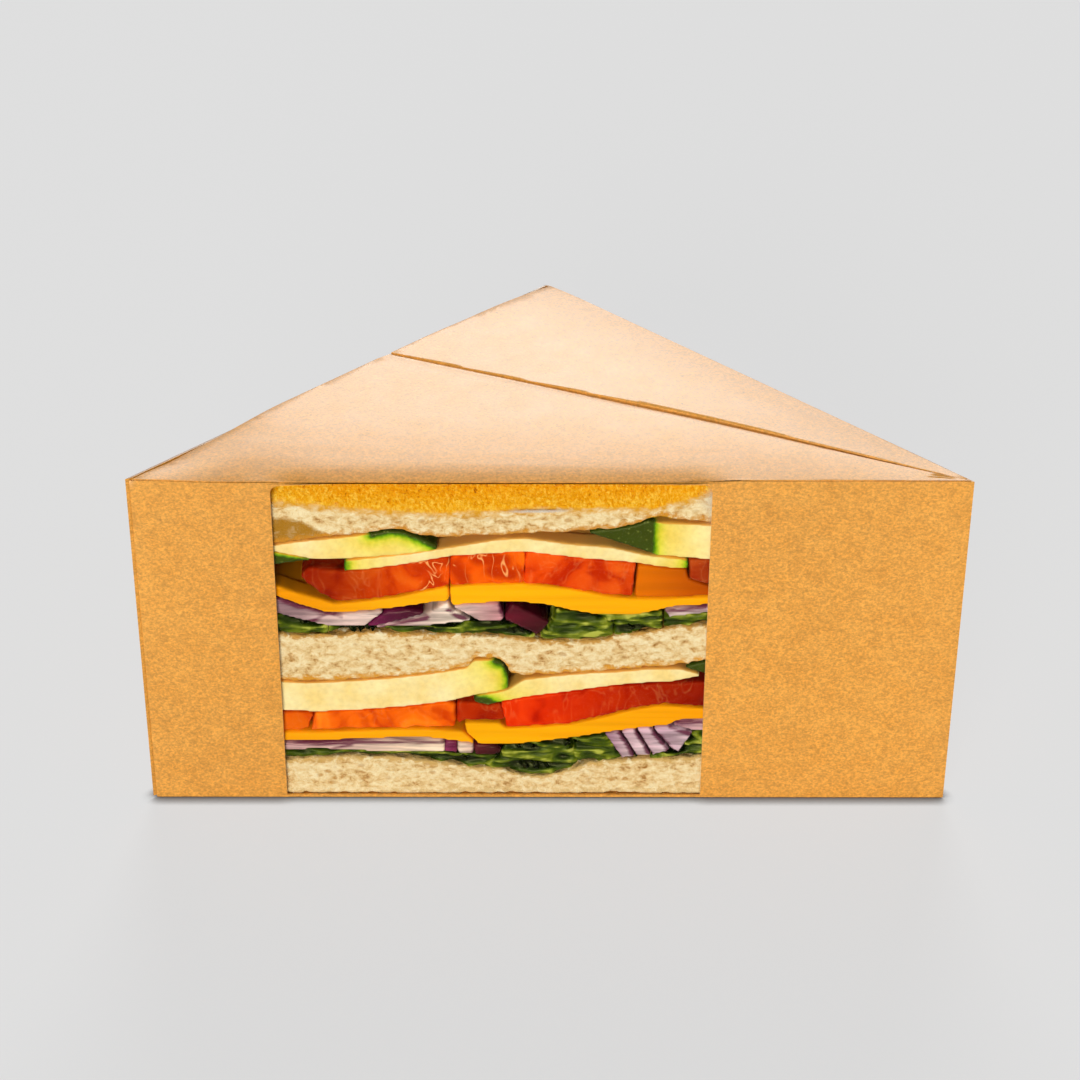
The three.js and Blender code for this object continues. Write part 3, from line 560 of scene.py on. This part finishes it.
def bread_material(name, top_hex, under_hex, toasted):
    """Bread crumb: baked wheat dough, matt and open, cream; its tone varies, and its hollows and
    pores are painted darker as shade. Its edges are browned by the toaster, or stained orange by the
    dressing on the filling."""
    made, nodes, shader, place = new_material(name)
    squashed = add(nodes, "Mapping", {"Vector": place, "Scale": (0.75, 0.9, 1.15)}).outputs[0]
    open_crumb = add(nodes, "TexNoise", {"Vector": squashed, "Scale": 640, "Detail": 5, "Roughness": 0.7,
                                         "Distortion": 0.4})
    grain = add(nodes, "TexNoise", {"Vector": place, "Scale": 2200, "Detail": 2})
    patch = add(nodes, "TexNoise", {"Vector": place, "Scale": 120, "Detail": 3})
    # Partly painted shade: the crumb's tone varies, and its darkest tones lie where the bump sinks.
    crumb = add(nodes, "ValToRGB", {"Fac": open_crumb.outputs["Fac"]})
    crumb.color_ramp.elements[0].position = 0.3
    crumb.color_ramp.elements[0].color = colour("#9a6a2c")
    crumb.color_ramp.elements[1].position = 0.68
    crumb.color_ramp.elements[1].color = colour("#f7e6b8")
    for spot, hex_text in ((0.37, "#c89c60"), (0.45, "#e2c084"), (0.54, "#edd49e")):
        crumb.color_ramp.elements.new(spot).color = colour(hex_text)
    finish = crumb.outputs[0]
    # Painted shade: pores are painted darker brown, in the patches where some show.
    cells = add(nodes, "TexVoronoi", {"Vector": squashed, "Scale": 420, "Randomness": 1.0})
    pore_shade = add(nodes, "MapRange", {"Value": cells.outputs["Distance"], 1: 0.16, 2: 0.3, 3: 0.55, 4: 0.0})
    some = add(nodes, "MapRange", {"Value": patch.outputs["Fac"], 1: 0.46, 2: 0.54, 3: 0.0, 4: 1.0})
    pore_shades = add(nodes, "Math", {0: pore_shade.outputs[0], 1: some.outputs[0]}, operation="MULTIPLY")
    finish = add(nodes, "Mix", {0: pore_shades.outputs[0], 6: finish, 7: colour("#b67c30")},
                 data_type="RGBA").outputs[2]
    if toasted:
        # Painted shade: a wedge at the upper left of the cut face is painted golden brown as the shade in a
        # recess.
        painted_wedge_shade = add(nodes, "Attribute", attribute_name="painted_wedge_shade")
        edge = add(nodes, "Math", {0: painted_wedge_shade.outputs["Fac"], 1: open_crumb.outputs["Fac"]}, operation="ADD")
        dim = add(nodes, "MapRange", {"Value": edge.outputs[0], 1: 0.5, 2: 1.3, 3: 0.95, 4: 0.0})
        finish = add(nodes, "Mix", {0: dim.outputs[0], 6: finish, 7: colour("#a8741a")},
                     data_type="RGBA").outputs[2]
    for layer, hex_text, start, reach in (
        ("from_under", under_hex, 0.3, 1.5),
        ("from_top", top_hex, 0.5 if toasted else 0.2, 2.6 if toasted else 0.9),
    ):
        gap = add(nodes, "Attribute", attribute_name=layer)
        wander = add(nodes, "MapRange", {"Value": open_crumb.outputs["Fac"], 1: 0.3, 2: 0.7,
                                         3: -1.1, 4: 1.1})
        depth = add(nodes, "Math", {0: gap.outputs["Fac"], 1: wander.outputs[0]}, operation="ADD")
        browned = add(nodes, "MapRange", {"Value": depth.outputs[0], 1: start, 2: reach, 3: 0.9, 4: 0.0})
        finish = add(nodes, "Mix", {0: browned.outputs[0], 6: finish, 7: colour(hex_text)},
                     data_type="RGBA").outputs[2]
    facing = add(nodes, "SeparateXYZ", {0: add(nodes, "NewGeometry").outputs["Normal"]})
    if toasted:
        fibres = add(nodes, "Mapping", {"Vector": place, "Scale": (1500, 900, 900)})
        fibre = add(nodes, "TexNoise", {"Vector": fibres.outputs[0], "Scale": 1.0, "Detail": 4,
                                        "Roughness": 0.7, "Distortion": 0.6})
        depth = add(nodes, "SeparateXYZ", {0: place})
        back = add(nodes, "MapRange", {"Value": depth.outputs["Y"], 1: -41.3 * MM, 2: -37 * MM, 3: 0.04,
                                       4: -0.08})
        scorched = add(nodes, "Math", {0: fibre.outputs["Fac"], 1: back.outputs[0]}, operation="ADD")
        scorch = add(nodes, "ValToRGB", {"Fac": scorched.outputs[0]})
        scorch.color_ramp.elements[0].position = 0.28
        scorch.color_ramp.elements[0].color = colour("#8a4a06")
        scorch.color_ramp.elements[1].position = 0.66
        scorch.color_ramp.elements[1].color = colour("#ffcf48")
        for spot, hex_text in ((0.34, "#c87a08"), (0.4, "#ea980a"), (0.52, "#f2ac14")):
            scorch.color_ramp.elements.new(spot).color = colour(hex_text)
        upward = add(nodes, "MapRange", {"Value": facing.outputs["Z"], 1: 0.25, 2: 0.6, 3: 0.0, 4: 1.0})
        finish = add(nodes, "Mix", {0: upward.outputs[0], 6: finish, 7: scorch.outputs[0]},
                     data_type="RGBA").outputs[2]
    outside = add(nodes, "MapRange", {"Value": facing.outputs["Y"], 1: 0.3, 2: 0.6, 3: 0.0, 4: 1.0})
    finish = add(nodes, "Mix", {0: outside.outputs[0], 6: finish, 7: colour("#a5642a")},
                 data_type="RGBA").outputs[2]
    rise = add(nodes, "Math", {0: open_crumb.outputs["Fac"], 1: grain.outputs["Fac"]}, operation="ADD")
    relief = add(nodes, "Bump", {"Height": rise.outputs[0], "Strength": 0.7, "Distance": 0.45 * MM})
    nodes.links.new(finish, shader.inputs["Base Color"])
    nodes.links.new(relief.outputs[0], shader.inputs["Normal"])
    shader.inputs["Roughness"].default_value = 0.85
    shader.inputs["Specular IOR Level"].default_value = 0.05
    shader.inputs["Specular Tint"].default_value = colour("#ffd890")
    return made


# The toasted slice's upper face leans back from its cut edge, as it was pressed down in cutting.
breads = {
    "bread_top": ("toasted_top_slice", "toasted_bread",
                  bread_material("toasted_white_bread", "#dd9c1c", "#cf8a2c", toasted=True)),
    "bread_middle": ("middle_slice", "bread_crumb",
                     bread_material("dressed_white_bread", "#c79242", "#dc962c", toasted=False)),
    "bread_bottom": ("bottom_slice", "bread_crumb",
                     bread_material("white_bread", "#d2aa62", "#dcbf82", toasted=False)),
}
for node, (name, slot, material) in breads.items():
    deep = TOAST_DEPTH if node in TOAST_SHADE_WEDGE else SHOWN_DEPTH
    front, back = softened(node, name, BREAD_VOXEL, smooth=3, depth=deep)
    uneven(front, swell, TOAST_SWELL if node in TOAST_SHADE_WEDGE else CRUMB_SWELL)
    uneven(front, pitted, TOAST_PITS if node in TOAST_SHADE_WEDGE else CRUMB_PITS)
    kept_inside(front, node)
    if node in TOAST_SHADE_WEDGE:
        for vertex in front.data.vertices:
            upper = between(*TOAST_FRONT, vertex.co.z)
            leant = vertex.co.z + upper * min(TOAST_LEAN * (vertex.co.y - CUT_FACE), TOAST_RISE)
            vertex.co.z = min(leant, TOAST_TOP)
        for vertex in back.data.vertices:
            leant = vertex.co.z + TOAST_RISE * between(*TOAST_BACK, vertex.co.z)
            vertex.co.z = min(leant, TOAST_TOP)
    else:
        for vertex in front.data.vertices:
            foot = 1 - between(*FOOT, vertex.co.z)
            vertex.co.z -= (SPRING_BACK + FOOT_BULGE) * foot
            vertex.co.y -= FOOT_BULGE * foot * (1 - between(0, FOOT_DEPTH, vertex.co.y - CUT_FACE))
    piece = joined(front, back)
    banded(piece)
    if node in TOAST_SHADE_WEDGE:
        marked(piece, "painted_wedge_shade", TOAST_SHADE_WEDGE[node])
    placed(piece, material, "root", slot, node)

# Courgettes: long slices of raw courgette, pale and moist inside, with a bright green rim under a
# dark green skin that has paler flecks.
FOOD_VOXEL = 0.45 * MM
SKINS = {
    # the skinned edges of each slice on the cut face, as x and z in millimetres
    "courgette_upper_left": [[(-37, 68), (-33, 68.9), (-30.5, 68.6), (-26.8, 66.9), (-22.3, 64.2)]],
    "courgette_upper_back": [[(-60, 60), (-54, 61.6), (-49.5, 61.2), (-53, 61.2), (-60, 63), (-60, 60)]],
    "courgette_upper_long": [[(-43.4, 58), (-43.2, 61)], [(29.4, 58.8), (29.4, 61.4)]],
    "courgette_upper_right": [[(6, 69), (14, 69), (20.6, 72), (21.1, 72), (21.1, 62.6), (14, 65), (6, 69)]],
    "courgette_lower_left": [[(-11.4, 35.8), (-9.2, 34.6), (-8.3, 31.4), (-8.5, 27)]],
    "courgette_lower_right": [[(-17, 23), (-17, 26.4), (-13, 25.4), (-10.6, 24), (-17, 23)]],
    "courgette_lower_far": [[(28, 31), (28, 36), (60, 37), (60, 33.6), (28, 31)]],
}

# Raw courgette, cut with a sharp knife: moist, pale and a little glassy, with a tan film of
# dressing on what faces up.
raw_courgette, tree, shader, place = new_material("raw_courgette")
rind = add(tree, "Attribute", attribute_name="rind")
ragged = add(tree, "TexNoise", {"Vector": place, "Scale": 800, "Detail": 3})
wander = add(tree, "MapRange", {"Value": ragged.outputs["Fac"], 1: 0.3, 2: 0.7, 3: -0.2, 4: 0.2})
depth = add(tree, "Math", {0: rind.outputs["Fac"], 1: wander.outputs[0]}, operation="ADD")
inward = add(tree, "MapRange", {"Value": depth.outputs[0], 1: 0.0, 2: 14.0, 3: 0.0, 4: 1.0})
ramp = add(tree, "ValToRGB", {"Fac": inward.outputs[0]})
ramp.color_ramp.elements[0].position = 0.022
ramp.color_ramp.elements[0].color = colour("#39480e")
ramp.color_ramp.elements[1].position = 1.0
ramp.color_ramp.elements[1].color = colour("#fae7a6")
for spot, hex_text in ((0.045, "#467a0c"), (0.08, "#97bd12"), (0.14, "#e2dc44"), (0.26, "#f4e070"),
                       (0.6, "#f9e590")):
    ramp.color_ramp.elements.new(spot).color = colour(hex_text)
fleck = add(tree, "TexVoronoi", {"Vector": place, "Scale": 900})
light = add(tree, "MapRange", {"Value": fleck.outputs["Distance"], 1: 0.16, 2: 0.26, 3: 0.4, 4: 0.0})
skin_only = add(tree, "MapRange", {"Value": depth.outputs[0], 1: 0.3, 2: 0.5, 3: 1.0, 4: 0.0})
flecks = add(tree, "Math", {0: light.outputs[0], 1: skin_only.outputs[0]}, operation="MULTIPLY")
flecked = add(tree, "Mix", {0: flecks.outputs[0], 6: ramp.outputs[0], 7: colour("#8ea050")},
              data_type="RGBA")
pale = add(tree, "TexNoise", {"Vector": place, "Scale": 170, "Detail": 4})
veil = add(tree, "MapRange", {"Value": pale.outputs["Fac"], 1: 0.35, 2: 0.65, 3: 0.0, 4: 0.55})
flesh = add(tree, "Mix", {0: veil.outputs[0], 6: flecked.outputs[2], 7: colour("#f6dc98")},
            data_type="RGBA", blend_type="MULTIPLY")
cells = add(tree, "MapRange", {"Value": ragged.outputs["Fac"], 1: 0.35, 2: 0.65, 3: 0.93, 4: 1.03})
flesh = add(tree, "VectorMath", {0: flesh.outputs[2], "Scale": cells.outputs[0]}, operation="SCALE")
facing = add(tree, "SeparateXYZ", {0: add(tree, "NewGeometry").outputs["Normal"]})
level = add(tree, "MapRange", {"Value": facing.outputs["Z"], 1: 0.5, 2: 0.8, 3: 0.0, 4: 1.0})
fleshy = add(tree, "MapRange", {"Value": depth.outputs[0], 1: 0.5, 2: 1.5, 3: 0.0, 4: 0.85})
dressed = add(tree, "Math", {0: level.outputs[0], 1: fleshy.outputs[0]}, operation="MULTIPLY")
flesh = add(tree, "Mix", {0: dressed.outputs[0], 6: flesh.outputs[0], 7: colour("#f4ab3c")},
            data_type="RGBA")
moist = add(tree, "Bump", {"Height": ragged.outputs["Fac"], "Strength": 0.25, "Distance": 0.15 * MM})
tree.links.new(flesh.outputs[2], shader.inputs["Base Color"])
tree.links.new(moist.outputs[0], shader.inputs["Normal"])
shader.inputs["Roughness"].default_value = 0.4
shader.inputs["Specular IOR Level"].default_value = 0.15
shader.inputs["Specular Tint"].default_value = colour("#fff0b0")

for node, skins in SKINS.items():
    front, back = softened(node, node + "_slice", FOOD_VOXEL, smooth=4, depth=SHOWN_DEPTH)
    kept_inside(front, node)
    piece = joined(front, back)
    marked(piece, "rind", skins)
    placed(piece, raw_courgette, "root", "courgette", node)

# Tomatoes: thick slices of ripe tomato. The wall is firm orange red with pale threads, and the
# wet red jelly between the walls holds cream seeds.
VIEW_LEFT, VIEW_RIGHT = -58, 34
TOMATO_RIPPLE, TOMATO_SUNK = 0.6 * MM, 0.4 * MM
TOMATOES = {
    # the colour at each slice's left and right, as the window shows it, with shade painted in: the upper
    # left slice's dark left end is painted shade
    "tomato_upper_left": ("#8e1a04", "#e8500c"),
    "tomato_upper_middle": ("#ea5208", "#f0600c"),
    "tomato_upper_right": ("#e2430a", "#dc4c14"),
    "tomato_upper_far": ("#b5451c", "#a03a18"),
    "tomato_lower_left": ("#e0580c", "#d84e08"),
    "tomato_lower_middle": ("#ee6410", "#f0640c"),
    "tomato_lower_back": ("#b42a04", "#a82404"),
    "tomato_lower_right": ("#de2c04", "#8c1604"),
}
POCKETS = {
    # lines on the cut face along which a slice shows seeds and jelly, where it shows any
    "tomato_upper_left": [[(-27.5, 60), (-22, 61.5)], [(-26, 54), (-24, 57)]],
    "tomato_upper_middle": [[(-20, 60), (-18, 57)], [(-15, 62), (-9.5, 61.5)], [(-12, 59), (-8, 58)]],
}


def tinted(piece, left_hex, right_hex):
    """Writes a colour into each vertex that runs from one to the other across the slice."""
    layer = piece.data.attributes.new("tint", "FLOAT_COLOR", "POINT")
    reach = [vertex.co.x / MM for vertex in piece.data.vertices]
    low, high = max(min(reach), VIEW_LEFT), min(max(reach), VIEW_RIGHT)
    left, right = Vector(colour(left_hex)), Vector(colour(right_hex))
    for index, x in enumerate(reach):
        layer.data[index].color = left.lerp(right, between(low, high, x))


# Ripe tomato, cut: wet and glossy, so it shines softly, in reds that shift to orange.
tomato, tree, shader, place = new_material("ripe_tomato")
tint = add(tree, "Attribute", attribute_name="tint")
pulp = add(tree, "TexNoise", {"Vector": place, "Scale": 150, "Detail": 4, "Distortion": 0.9})
fade = add(tree, "ValToRGB", {"Fac": pulp.outputs["Fac"]})
fade.color_ramp.elements[0].position = 0.34
fade.color_ramp.elements[0].color = (0.72, 0.32, 0.2, 1)
fade.color_ramp.elements[1].position = 0.7
fade.color_ramp.elements[1].color = (1.18, 1.75, 1.6, 1)
fade.color_ramp.elements.new(0.5).color = (1.04, 1.0, 0.6, 1)
ripe = add(tree, "Mix", {0: 1.0, 6: tint.outputs["Color"], 7: fade.outputs[0]},
           data_type="RGBA", blend_type="MULTIPLY")
upright_grain = add(tree, "Mapping", {"Vector": place, "Scale": (210, 120, 90)})
membranes = add(tree, "TexNoise", {"Vector": upright_grain.outputs[0], "Scale": 1.0, "Detail": 2,
                                   "Distortion": 1.2})
off_line = add(tree, "Math", {0: membranes.outputs["Fac"], 1: 0.5}, operation="SUBTRACT")
off_line = add(tree, "Math", {0: off_line.outputs[0]}, operation="ABSOLUTE")
pocket = add(tree, "Attribute", attribute_name="pocket")
seedy = add(tree, "MapRange", {"Value": pocket.outputs["Fac"], 1: 0.8, 2: 2.2, 3: 1.0, 4: 0.0})
weight = add(tree, "MapRange", {"Value": seedy.outputs[0], 1: 0.0, 2: 1.0, 3: 0.1, 4: 0.85})
thread = add(tree, "MapRange", {"Value": off_line.outputs[0], 1: 0.004, 2: 0.02, 3: 1.0, 4: 0.0})
thread = add(tree, "Math", {0: thread.outputs[0], 1: weight.outputs[0]}, operation="MULTIPLY")
jelly = add(tree, "Mix", {0: seedy.outputs[0], 6: ripe.outputs[2], 7: colour("#c43404")},
            data_type="RGBA")
threaded = add(tree, "Mix", {0: thread.outputs[0], 6: jelly.outputs[2], 7: colour("#fcae62")},
               data_type="RGBA")
wet = add(tree, "Bump", {"Height": pulp.outputs["Fac"], "Strength": 0.5, "Distance": 0.5 * MM})
tree.links.new(threaded.outputs[2], shader.inputs["Base Color"])
tree.links.new(wet.outputs[0], shader.inputs["Normal"])
shader.inputs["Roughness"].default_value = 0.3
shader.inputs["Specular IOR Level"].default_value = 0.12
shader.inputs["Specular Tint"].default_value = colour("#ff9c4c")

ripple = texture("CLOUDS", 2.5 * MM, noise_depth=1)
for node, (left_hex, right_hex) in TOMATOES.items():
    front, back = softened(node, node + "_slice", FOOD_VOXEL, smooth=3, depth=SHOWN_DEPTH)
    uneven(front, ripple, TOMATO_RIPPLE)
    kept_inside(front, node, TOMATO_SUNK)
    piece = joined(front, back)
    tinted(piece, left_hex, right_hex)
    marked(piece, "pocket", POCKETS.get(node, []))
    placed(piece, tomato, "root", "tomato", node)

# Cheese: slices of firm orange cheese, cut by machine, two or three deep. The faces are smooth
# and a little waxy, and the joints between slices show as faint lines.
CHEESE_SUNK = 0.1 * MM
CHEESES = {
    # the colour at each slice's left and right; the fold lies back in shadow, and its darker orange is
    # painted shade
    "cheese_upper_left": ("#ee9408", "#fcae10"),
    "cheese_upper_right": ("#fcb00c", "#f8a50a"),
    "cheese_upper_fold": ("#d86a04", "#b44a02"),
    "cheese_lower_left": ("#f79f0c", "#fba80c"),
    "cheese_lower_right": ("#fcac08", "#f39c08"),
}

# Coloured cheddar, sliced: an even deep orange with a low waxy sheen.
cheese, tree, shader, place = new_material("coloured_cheddar")
tint = add(tree, "Attribute", attribute_name="tint")
layers = add(tree, "Mapping", {"Vector": place, "Scale": (25, 25, 700)})
lines = add(tree, "TexNoise", {"Vector": layers.outputs[0], "Scale": 1.0, "Detail": 2})
line = add(tree, "MapRange", {"Value": lines.outputs["Fac"], 1: 0.36, 2: 0.6, 3: 0.94, 4: 1.08})
lined = add(tree, "VectorMath", {0: tint.outputs["Color"], "Scale": line.outputs[0]}, operation="SCALE")
tree.links.new(lined.outputs[0], shader.inputs["Base Color"])
shader.inputs["Roughness"].default_value = 0.5
shader.inputs["Specular IOR Level"].default_value = 0.12
shader.inputs["Specular Tint"].default_value = colour("#ffc860")

for node, (left_hex, right_hex) in CHEESES.items():
    front, back = softened(node, node + "_slices", FOOD_VOXEL, smooth=4, depth=SHOWN_DEPTH)
    kept_inside(front, node, CHEESE_SUNK)
    piece = joined(front, back)
    tinted(piece, left_hex, right_hex)
    placed(piece, cheese, "root", "cheese", node)

# Red onion: crisp sliced rings. The flesh is glassy white with fine lengthwise lines, and each
# ring has a purple skin that shows as a dark edge or, seen face on, as a dark wine red.
ONION_SUNK = 0.3 * MM
ONIONS = {
    # the colour at each ring's left and right, and the lines where its skin shows
    "onion_upper_1": ("#a98488", "#e6c9b8", [[(-66, 51.6), (-58, 52), (-53, 50), (-44, 47.2)],
                                             [(-52, 45.4), (-47, 48)], [(-39, 44.4), (-34.5, 48.4)]]),
    "onion_upper_2": ("#6d1a44", "#54102c", None),
    "onion_upper_3": ("#d9b0a8", "#f0dcc4", [[(-37, 44), (-32, 45.6), (-26, 47)],
                                             [(-21.4, 49), (-16.5, 45.6)]]),
    "onion_upper_4": ("#e2c2b4", "#c48a8a", [[(-20.9, 49.6), (-14.7, 45.3), (-9.8, 45.2)],
                                             [(-10.4, 50), (-9.4, 46)]]),
    "onion_upper_5": ("#5a0c20", "#3c0612", None),
    "onion_upper_6": ("#e6cabc", "#dcc0bc", [[(24, 48.5), (33, 49.8)]]),
    "onion_lower_1": ("#caa09a", "#eed3b4", [[(-66, 13.6), (-50, 13.8), (-43, 14.2), (-22.6, 14.2)],
                                             [(-50, 11.6), (-43, 13.6)], [(-34, 10.6), (-22.6, 10.6)]]),
    "onion_lower_2": ("#7c2c50", "#6a1a3c", None),
    "onion_lower_3": ("#e8cdb2", "#dcbaa4", [[(-16.2, 10), (-16.2, 13)]]),
    "onion_lower_4": ("#5c1a24", "#3c0a10", None),
    "onion_lower_5": ("#a87c8e", "#e0c0c0", [[(12, 15.9), (13, 14.4), (16.1, 9)],
                                             [(15.4, 16.8), (19.1, 9.6)]]),
    "onion_lower_6": ("#caa4ac", "#e8cccc", [[(15.6, 16.8), (19.2, 9.6)], [(18.8, 17.4), (22.6, 10)]]),
    "onion_lower_7": ("#caa4ac", "#e6c8cc", [[(19, 17.4), (22.8, 10)], [(22.2, 17.8), (26.8, 11.2)]]),
    "onion_lower_8": ("#c09aa6", "#cdb0b4", [[(22.6, 17.6), (28.4, 10.6)], [(26.4, 18.2), (31.6, 16.2)]]),
    "onion_lower_9": ("#a87880", "#c8a0a0", [[(27, 18.3), (31.6, 16.6)], [(28, 19.6), (34, 19.8)]]),
}


def onion_material(name, rimmed):
    """Raw red onion, cut: wet and half clear, streaked lengthwise, with purple rims on its flesh."""
    made, nodes, shader, place = new_material(name)
    tint = add(nodes, "Attribute", attribute_name="tint")
    lengthwise = add(nodes, "Mapping", {"Vector": place, "Rotation": (0, 0.3, 0), "Scale": (90, 60, 900)})
    lines = add(nodes, "TexNoise", {"Vector": lengthwise.outputs[0], "Scale": 1.0, "Detail": 3,
                                    "Distortion": 0.5})
    shade = add(nodes, "MapRange", {"Value": lines.outputs["Fac"], 1: 0.34, 2: 0.66, 3: 0.55, 4: 1.2})
    finish = add(nodes, "VectorMath", {0: tint.outputs["Color"], "Scale": shade.outputs[0]},
                 operation="SCALE").outputs[0]
    if rimmed:
        rim = add(nodes, "Attribute", attribute_name="rim")
        stray = add(nodes, "MapRange", {"Value": lines.outputs["Fac"], 1: 0.3, 2: 0.7, 3: -0.3, 4: 0.3})
        off = add(nodes, "Math", {0: rim.outputs["Fac"], 1: stray.outputs[0]}, operation="ADD")
        near = add(nodes, "MapRange", {"Value": off.outputs[0], 1: 0.15, 2: 0.75, 3: 0.9, 4: 0.0})
        finish = add(nodes, "Mix", {0: near.outputs[0], 6: finish, 7: colour("#5e1638")},
                     data_type="RGBA").outputs[2]
    nodes.links.new(finish, shader.inputs["Base Color"])
    shader.inputs["Roughness"].default_value = 0.25
    shader.inputs["Specular IOR Level"].default_value = 0.2
    shader.inputs["Specular Tint"].default_value = colour("#ffd8b0")
    return made


onion_flesh = onion_material("red_onion_flesh", rimmed=True)
onion_skin = onion_material("red_onion_skin", rimmed=False)
for node, (left_hex, right_hex, rims) in ONIONS.items():
    front, back = softened(node, node + "_ring", FOOD_VOXEL, smooth=2, depth=SHOWN_DEPTH)
    kept_inside(front, node, ONION_SUNK)
    piece = joined(front, back)
    tinted(piece, left_hex, right_hex)
    if rims:
        marked(piece, "rim", rims)
        placed(piece, onion_flesh, "root", "onion_flesh", node)
    else:
        placed(piece, onion_skin, "root", "onion_skin", node)

# Spinach: young leaves, washed and laid in loosely, so they crumple into folds between the onion
# and the bread. The blades are deep green with a soft gloss; painted shade darkens the hollows of the folds
# and a painted highlight brightens their crests.
FOLD_PITCH = Vector((85, 120, 480))
FOLD_HEIGHT = 1.5 * MM
FOLD_LOW, FOLD_HIGH = 0.22, 0.66
RIDGE_TOP, FOLD_MIDDLE = 2.4, 0.6
LEAF_VOXEL, LEAF_SUNK = 0.4 * MM, 0.6 * MM

# Spinach leaf, fresh: smooth with a soft gloss, deep green, with painted shade nearly black in the hollows
# of its folds and a painted olive highlight on its crests.
leaf, tree, shader, place = new_material("spinach_leaf")
fold = add(tree, "Attribute", attribute_name="fold")
vary = add(tree, "TexNoise", {"Vector": place, "Scale": 260, "Detail": 3})
lift = add(tree, "MapRange", {"Value": vary.outputs["Fac"], 1: 0.3, 2: 0.7, 3: -0.2, 4: 0.2})
shade = add(tree, "Math", {0: fold.outputs["Fac"], 1: lift.outputs[0]}, operation="ADD")
# Painted shade and highlight: the fold attribute, each fold's crest height, runs the colour from nearly
# black in the hollows to olive on the crests.
ramp = add(tree, "ValToRGB", {"Fac": shade.outputs[0]})
ramp.color_ramp.elements[0].position = 0.1
ramp.color_ramp.elements[0].color = colour("#0e1402")
ramp.color_ramp.elements[1].position = 1.0
ramp.color_ramp.elements[1].color = colour("#aeb044")
for spot, hex_text in ((0.42, "#1e2e04"), (0.68, "#3e4e08"), (0.86, "#6c7616")):
    ramp.color_ramp.elements.new(spot).color = colour(hex_text)
tree.links.new(ramp.outputs[0], shader.inputs["Base Color"])
shader.inputs["Roughness"].default_value = 0.35
shader.inputs["Specular IOR Level"].default_value = 0.2
shader.inputs["Specular Tint"].default_value = colour("#dce08c")

for node in sorted(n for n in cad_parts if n.startswith("spinach")):
    front, back = softened(node, node + "_leaves", LEAF_VOXEL, smooth=1, depth=SHOWN_DEPTH)
    # The fold attribute carries the crest height that the leaf's painted shade and highlight follow.
    layer = front.data.attributes.new("fold", "FLOAT", "POINT")
    crests = []
    for vertex in front.data.vertices:
        point = Vector(a * b for a, b in zip(vertex.co, FOLD_PITCH))
        ridges = noise.ridged_multi_fractal(point, 1.0, 2.0, 3, 1.0, 2.0) / RIDGE_TOP
        crests.append((ridges - FOLD_LOW) / (FOLD_HIGH - FOLD_LOW))
        layer.data[vertex.index].value = crests[-1]
    for vertex, crest in zip(front.data.vertices, crests):
        vertex.co += vertex.normal * (crest - FOLD_MIDDLE) * FOLD_HEIGHT
    kept_inside(front, node, LEAF_SUNK)
    piece = joined(front, back)
    placed(piece, leaf, "root", "spinach", node)
